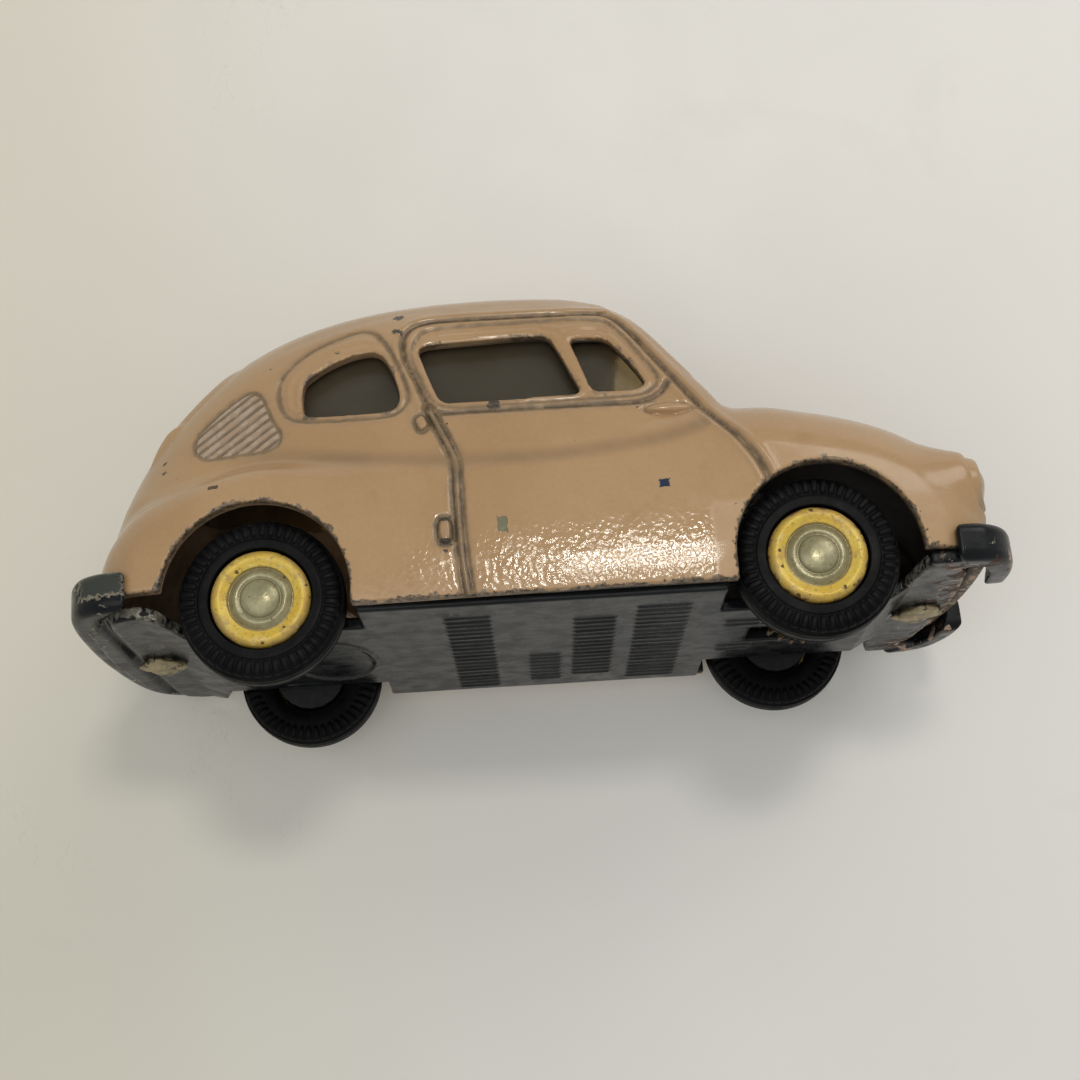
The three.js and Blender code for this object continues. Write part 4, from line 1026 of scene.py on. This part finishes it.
def tyre_rubber():
    p = Paint("tyre_rubber")
    p.colour = p.mix(p.cloud(0.4, 4, 0.35, 0.65), (0.002, 0.002, 0.0024), (0.0045, 0.0045, 0.005))
    dust_and_shade = p.times(p.cloud(1.6, 5, 0.58, 0.74, rough=0.7), 0.3)
    p.coat(dust_and_shade, (0.022, 0.021, 0.02))
    lint, which = p.cells(0.8)
    speck = p.times(p.band(lint, 0.06, 0.03), p.band(which, 0.86, 0.9))
    p.coat(speck, (0.16, 0.15, 0.14))
    p.bump(p.times(p.noise(3.5, 4, 0.6), 0.02), p.times(p.noise(0.5, 2), 0.05))
    return p.finish(p.cloud(0.7, 4, 0.3, 0.7, 0.4, 0.56), Specular_IOR_Level=0.1)


def wheel_lacquer(name, centre_x, patina):
    p = Paint(name)
    across, up = p.add(p.x, -centre_x), p.add(p.z, -AXLE_Z)
    radius = p.math("SQRT", p.add(p.times(across, across), p.times(up, up)))
    gold = p.mix(p.cloud(0.45, 4, 0.35, 0.7), (0.65, 0.425, 0.045), (0.69, 0.50, 0.08))
    brim = p.times(p.band(radius, 3.15, 3.65), p.cloud(0.9, 4, 0.3, 0.7, 0.35, 1))
    gold = p.mix(brim, gold, (0.36, 0.23, 0.075))
    gold = p.mix(p.cloud(0.7, 5, 0.5, 0.66, 0, 0.65, rough=0.65), gold, (0.40, 0.26, 0.09))
    gold = p.mix(p.cloud(1.1, 5, 0.54, 0.64, 0, 0.7, rough=0.7), gold, (0.68, 0.52, 0.17))
    creeping = p.add(radius, p.cloud(0.9, 4, 0.2, 0.8, -0.3, 0.55 * patina - 0.3))
    rust = p.times(p.band(creeping, 3.62, 3.76), 0.9)
    gold = p.mix(rust, gold, (0.13, 0.055, 0.02))
    dish = p.mix(p.cloud(0.8, 4, 0.35, 0.7), (0.30, 0.27, 0.15), (0.38, 0.35, 0.21))
    ring = p.band(p.absolute(p.add(radius, -1.52)), 0.2, 0.03)
    dish = p.mix(p.times(ring, 0.6), dish, (0.16, 0.14, 0.07))
    inner = p.band(radius, 2.56, 2.44)
    p.colour = p.mix(inner, gold, dish)
    step = p.band(p.absolute(p.add(radius, -2.42)), 0.13, 0.03)
    p.coat(p.times(step, 0.55), (0.30, 0.22, 0.08))
    spot, which = p.cells(1.15)
    size = p.times(p.band(which, 0.5, 1.0, 0, 0.2), p.band(radius, 2.0, 3.0, 0.35, 1))
    spot = p.add(spot, p.cloud(5, 3, 0.2, 0.8, -0.06, 0.06))
    speck = p.band(p.minus(spot, size), 0.015, -0.01)
    p.coat(p.times(speck, 0.9), (0.06, 0.035, 0.015))
    fine = p.times(p.cloud(3.5, 4, 0.55, 0.66, rough=0.7), 0.65)
    p.coat(fine, (0.20, 0.14, 0.06))
    rough = p.add(p.cloud(1.0, 4, 0.3, 0.7, 0.34, 0.48), p.times(rust, 0.3), p.times(speck, 0.3),
                  p.times(inner, -0.1))
    p.bump(p.times(p.noise(1.2, 3), 0.05), p.times(speck, -0.04), p.times(p.noise(4, 3), 0.008))
    return p.finish(rough, p.add(p.times(inner, 0.3), 0.1), Coat_Weight=0.1, Coat_Roughness=0.2)


def turned_metal(name, dark, light, grain, low=0.25, high=0.42, metal=1.0):
    """A plain metal part with drawn or turned grain along Y and a little grime."""
    p = Paint(name)
    lines = p.noise(1.0, 4, 0.6, p.scaled(p.place, grain))
    p.colour = p.mix(p.band(lines, 0.3, 0.7), dark, light)
    p.coat(p.cloud(0.6, 5, 0.52, 0.7, 0, 0.75, rough=0.65), [v * 0.3 for v in dark])
    p.bump(p.times(lines, 0.02), p.times(p.noise(1.5, 4), 0.02))
    return p.finish(p.cloud(1.1, 4, 0.3, 0.7, low, high), metal)


def dress(thing, material):
    if not thing.material_slots:
        thing.data.materials.append(material)
    for slot in thing.material_slots:
        slot.link = "OBJECT"
        slot.material = material


dress(body, body_enamel())
dress(base, base_enamel())
zinc_ends = peened_zinc()
for post in posts:
    dress(post, zinc_ends)
dress(glazing, clear_plastic())
rubber = tyre_rubber()
for tyre in tyres:
    dress(tyre, rubber)
lacquer = {"front": wheel_lacquer("wheel_lacquer_front", AXLE_X, 1.0),
           "rear": wheel_lacquer("wheel_lacquer_rear", -AXLE_X, 0.6)}
for disc in discs:
    dress(disc, lacquer["front" if "front" in disc.name else "rear"])
steel = turned_metal("drawn_steel", (0.30, 0.29, 0.28), (0.52, 0.51, 0.49), (6, 0.5, 6))
brass = turned_metal("greasy_brass", (0.06, 0.04, 0.016), (0.17, 0.115, 0.05), (3, 3, 3), 0.4, 0.6)
zinc = turned_metal("cast_zinc", (0.26, 0.26, 0.26), (0.42, 0.42, 0.41), (1.5, 1.5, 1.5), 0.4, 0.6, 0.8)
tinplate = turned_metal("motor_tinplate", (0.38, 0.36, 0.32), (0.60, 0.58, 0.52), (0.4, 1, 4), 0.3, 0.5)
core = turned_metal("wheel_core_black", (0.004, 0.004, 0.0045), (0.011, 0.011, 0.011), (1.5, 1.5, 1.5),
                    0.5, 0.7, 0.0)
# The first word found in a node's name gives its material.
KEPT = {"flywheel_shaft": steel, "gear": brass, "pinion": brass, "wheel_core": core,
        "motor_plate": tinplate, "spacer": steel, "axle": steel, "layshaft": steel, "flywheel": zinc}


def kept_finish(node):
    return next(material for word, material in KEPT.items() if word in node)


for thing in list(bpy.context.scene.objects):
    if thing.get("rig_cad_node") is not None and not thing.hide_render:
        dress(thing, kept_finish(thing.name))


# ---- table and floor
def table_paint(name):
    p = Paint(name)
    p.colour = p.mix(p.cloud(0.012, 3, 0.35, 0.65), (0.80, 0.78, 0.745), (0.84, 0.82, 0.785))
    # Painted shade darkens and yellows the left and painted light brightens the right, on the table and the
    # floor alike.
    p.coat(p.band(p.x, 10, -60), (0.735, 0.70, 0.60))
    p.coat(p.band(p.x, 20, 90), (0.90, 0.875, 0.84))
    smudge = p.cloud(0.05, 5, 0.56, 0.72, 0, 0.14, rough=0.65, warp=0.4)
    p.coat(smudge, (0.62, 0.60, 0.56))
    lines = p.noise(0.06, 6, 0.75, p.scaled(p.place, (1.3, 0.4, 0.5)))
    hair = p.band(p.absolute(p.add(lines, -0.5)), 0.0035, 0.0)
    hair = p.times(hair, p.cloud(0.03, 2, 0.56, 0.64))
    p.coat(p.times(hair, 0.22), (0.42, 0.41, 0.38))
    p.bump(p.times(p.noise(0.4, 3), 0.03))
    p.finish(p.cloud(0.08, 4, 0.3, 0.7, 0.42, 0.6), 0.0, Specular_IOR_Level=0.3)
    # Seen from behind, the surface is not there.
    behind = p.tree.nodes.new("ShaderNodeNewGeometry").outputs["Backfacing"]
    clear = p.tree.nodes.new("ShaderNodeBsdfTransparent")
    either = p.tree.nodes.new("ShaderNodeMixShader")
    p.plug(either.inputs["Fac"], behind)
    p.plug(either.inputs[1], p.shader.outputs[0])
    p.plug(either.inputs[2], clear.outputs[0])
    p.plug(p.tree.nodes["Material Output"].inputs["Surface"], either.outputs[0])
    return p.material


def sheet(name, corners):
    mesh = bpy.data.meshes.new(name)
    mesh.from_pydata([[v * MM for v in corner] for corner in corners], [], [(0, 1, 2, 3)])
    mesh.update()
    thing = placed(name, mesh)
    thing.data.materials.append(table_paint(name + "_top"))
    thing.visible_shadow = thing.visible_diffuse = False
    thing.visible_glossy = name.startswith("table")
    return thing


def resting_line(points):
    """Slope and offset of the line y = offset + slope * z that the left side's (y, z) outline rests on."""
    ys, zs = points[:, 1], points[:, 2]
    best = None
    for slope_deg in np.arange(-25, 2, 0.25):
        tilt = math.tan(math.radians(slope_deg))
        offset = (ys - tilt * zs).max()
        touching = zs[ys - tilt * zs > offset - 0.12]
        if touching.max() - touching.min() > 8:
            best = tilt, offset
    return best


outline = np.array([v.co for v in body.data.vertices]) / MM
tilt, offset = resting_line(outline) or (-0.23, 18.3)
REACH, FLOOR_Z = 900, -0.05
ends = [(-REACH, -REACH), (REACH, -REACH), (REACH, REACH), (-REACH, REACH)]
sheet("table_left", [(a, offset + tilt * b, b) for a, b in ends])
sheet("floor", [(a, b, FLOOR_Z) for a, b in ends])


# ---- lights
def softbox(name, at, towards, width, height, power, colour):
    light = bpy.data.lights.new(name, "AREA")
    light.shape = "RECTANGLE"
    light.size, light.size_y = width * MM, height * MM
    light.energy = power
    light.color = colour
    lamp = placed(name, light)
    at, towards = Vector(at) * MM, Vector(towards) * MM
    lamp.location = at
    lamp.rotation_mode = "QUATERNION"
    lamp.rotation_quaternion = (towards - at).to_track_quat("-Z", "Y")


softbox("window", (44, -400, 84), (0, 0, 10), 64, 34, 0.3, (1, 0.955, 0.87))
softbox("sky_right", (360, -430, 330), (60, 0, 50), 380, 300, 0.9, (1, 0.97, 0.93))
softbox("sky_front", (-160, -700, -130), (0, 0, 0), 700, 500, 1.15, (1, 0.985, 0.955))


# ---- the camera, at the photograph's angle
CAMERA_AT = (-1.5647, -130.5013, -27.3690)
YAW, PITCH, ROLL = 0.015399, 0.304489, -0.083584
FOCAL = 1612.15
ahead = Vector((math.sin(YAW) * math.cos(PITCH), math.cos(YAW) * math.cos(PITCH), math.sin(PITCH)))
level = ahead.cross(Vector((0, 0, 1))).normalized()
upright = level.cross(ahead)
across = math.cos(ROLL) * level + math.sin(ROLL) * upright
upward = -math.sin(ROLL) * level + math.cos(ROLL) * upright
lens = bpy.data.cameras.new("camera")
lens.sensor_width = 36
lens.lens = FOCAL * 36 / 1080
lens.clip_start, lens.clip_end = 0.01, 20
camera = placed("camera", lens)
camera.matrix_world = Matrix((
    (across.x, upward.x, -ahead.x, CAMERA_AT[0] * MM), (across.y, upward.y, -ahead.y, CAMERA_AT[1] * MM),
    (across.z, upward.z, -ahead.z, CAMERA_AT[2] * MM), (0, 0, 0, 1)))
bpy.context.scene.camera = camera

# ---- the room's own light
world = bpy.data.worlds.new("room")
bpy.context.scene.world = world
world.use_nodes = True
world.node_tree.nodes["Background"].inputs["Color"].default_value = (0.975, 1, 0.985, 1)
world.node_tree.nodes["Background"].inputs["Strength"].default_value = 0.42
bpy.context.scene.view_settings.view_transform = "Standard"
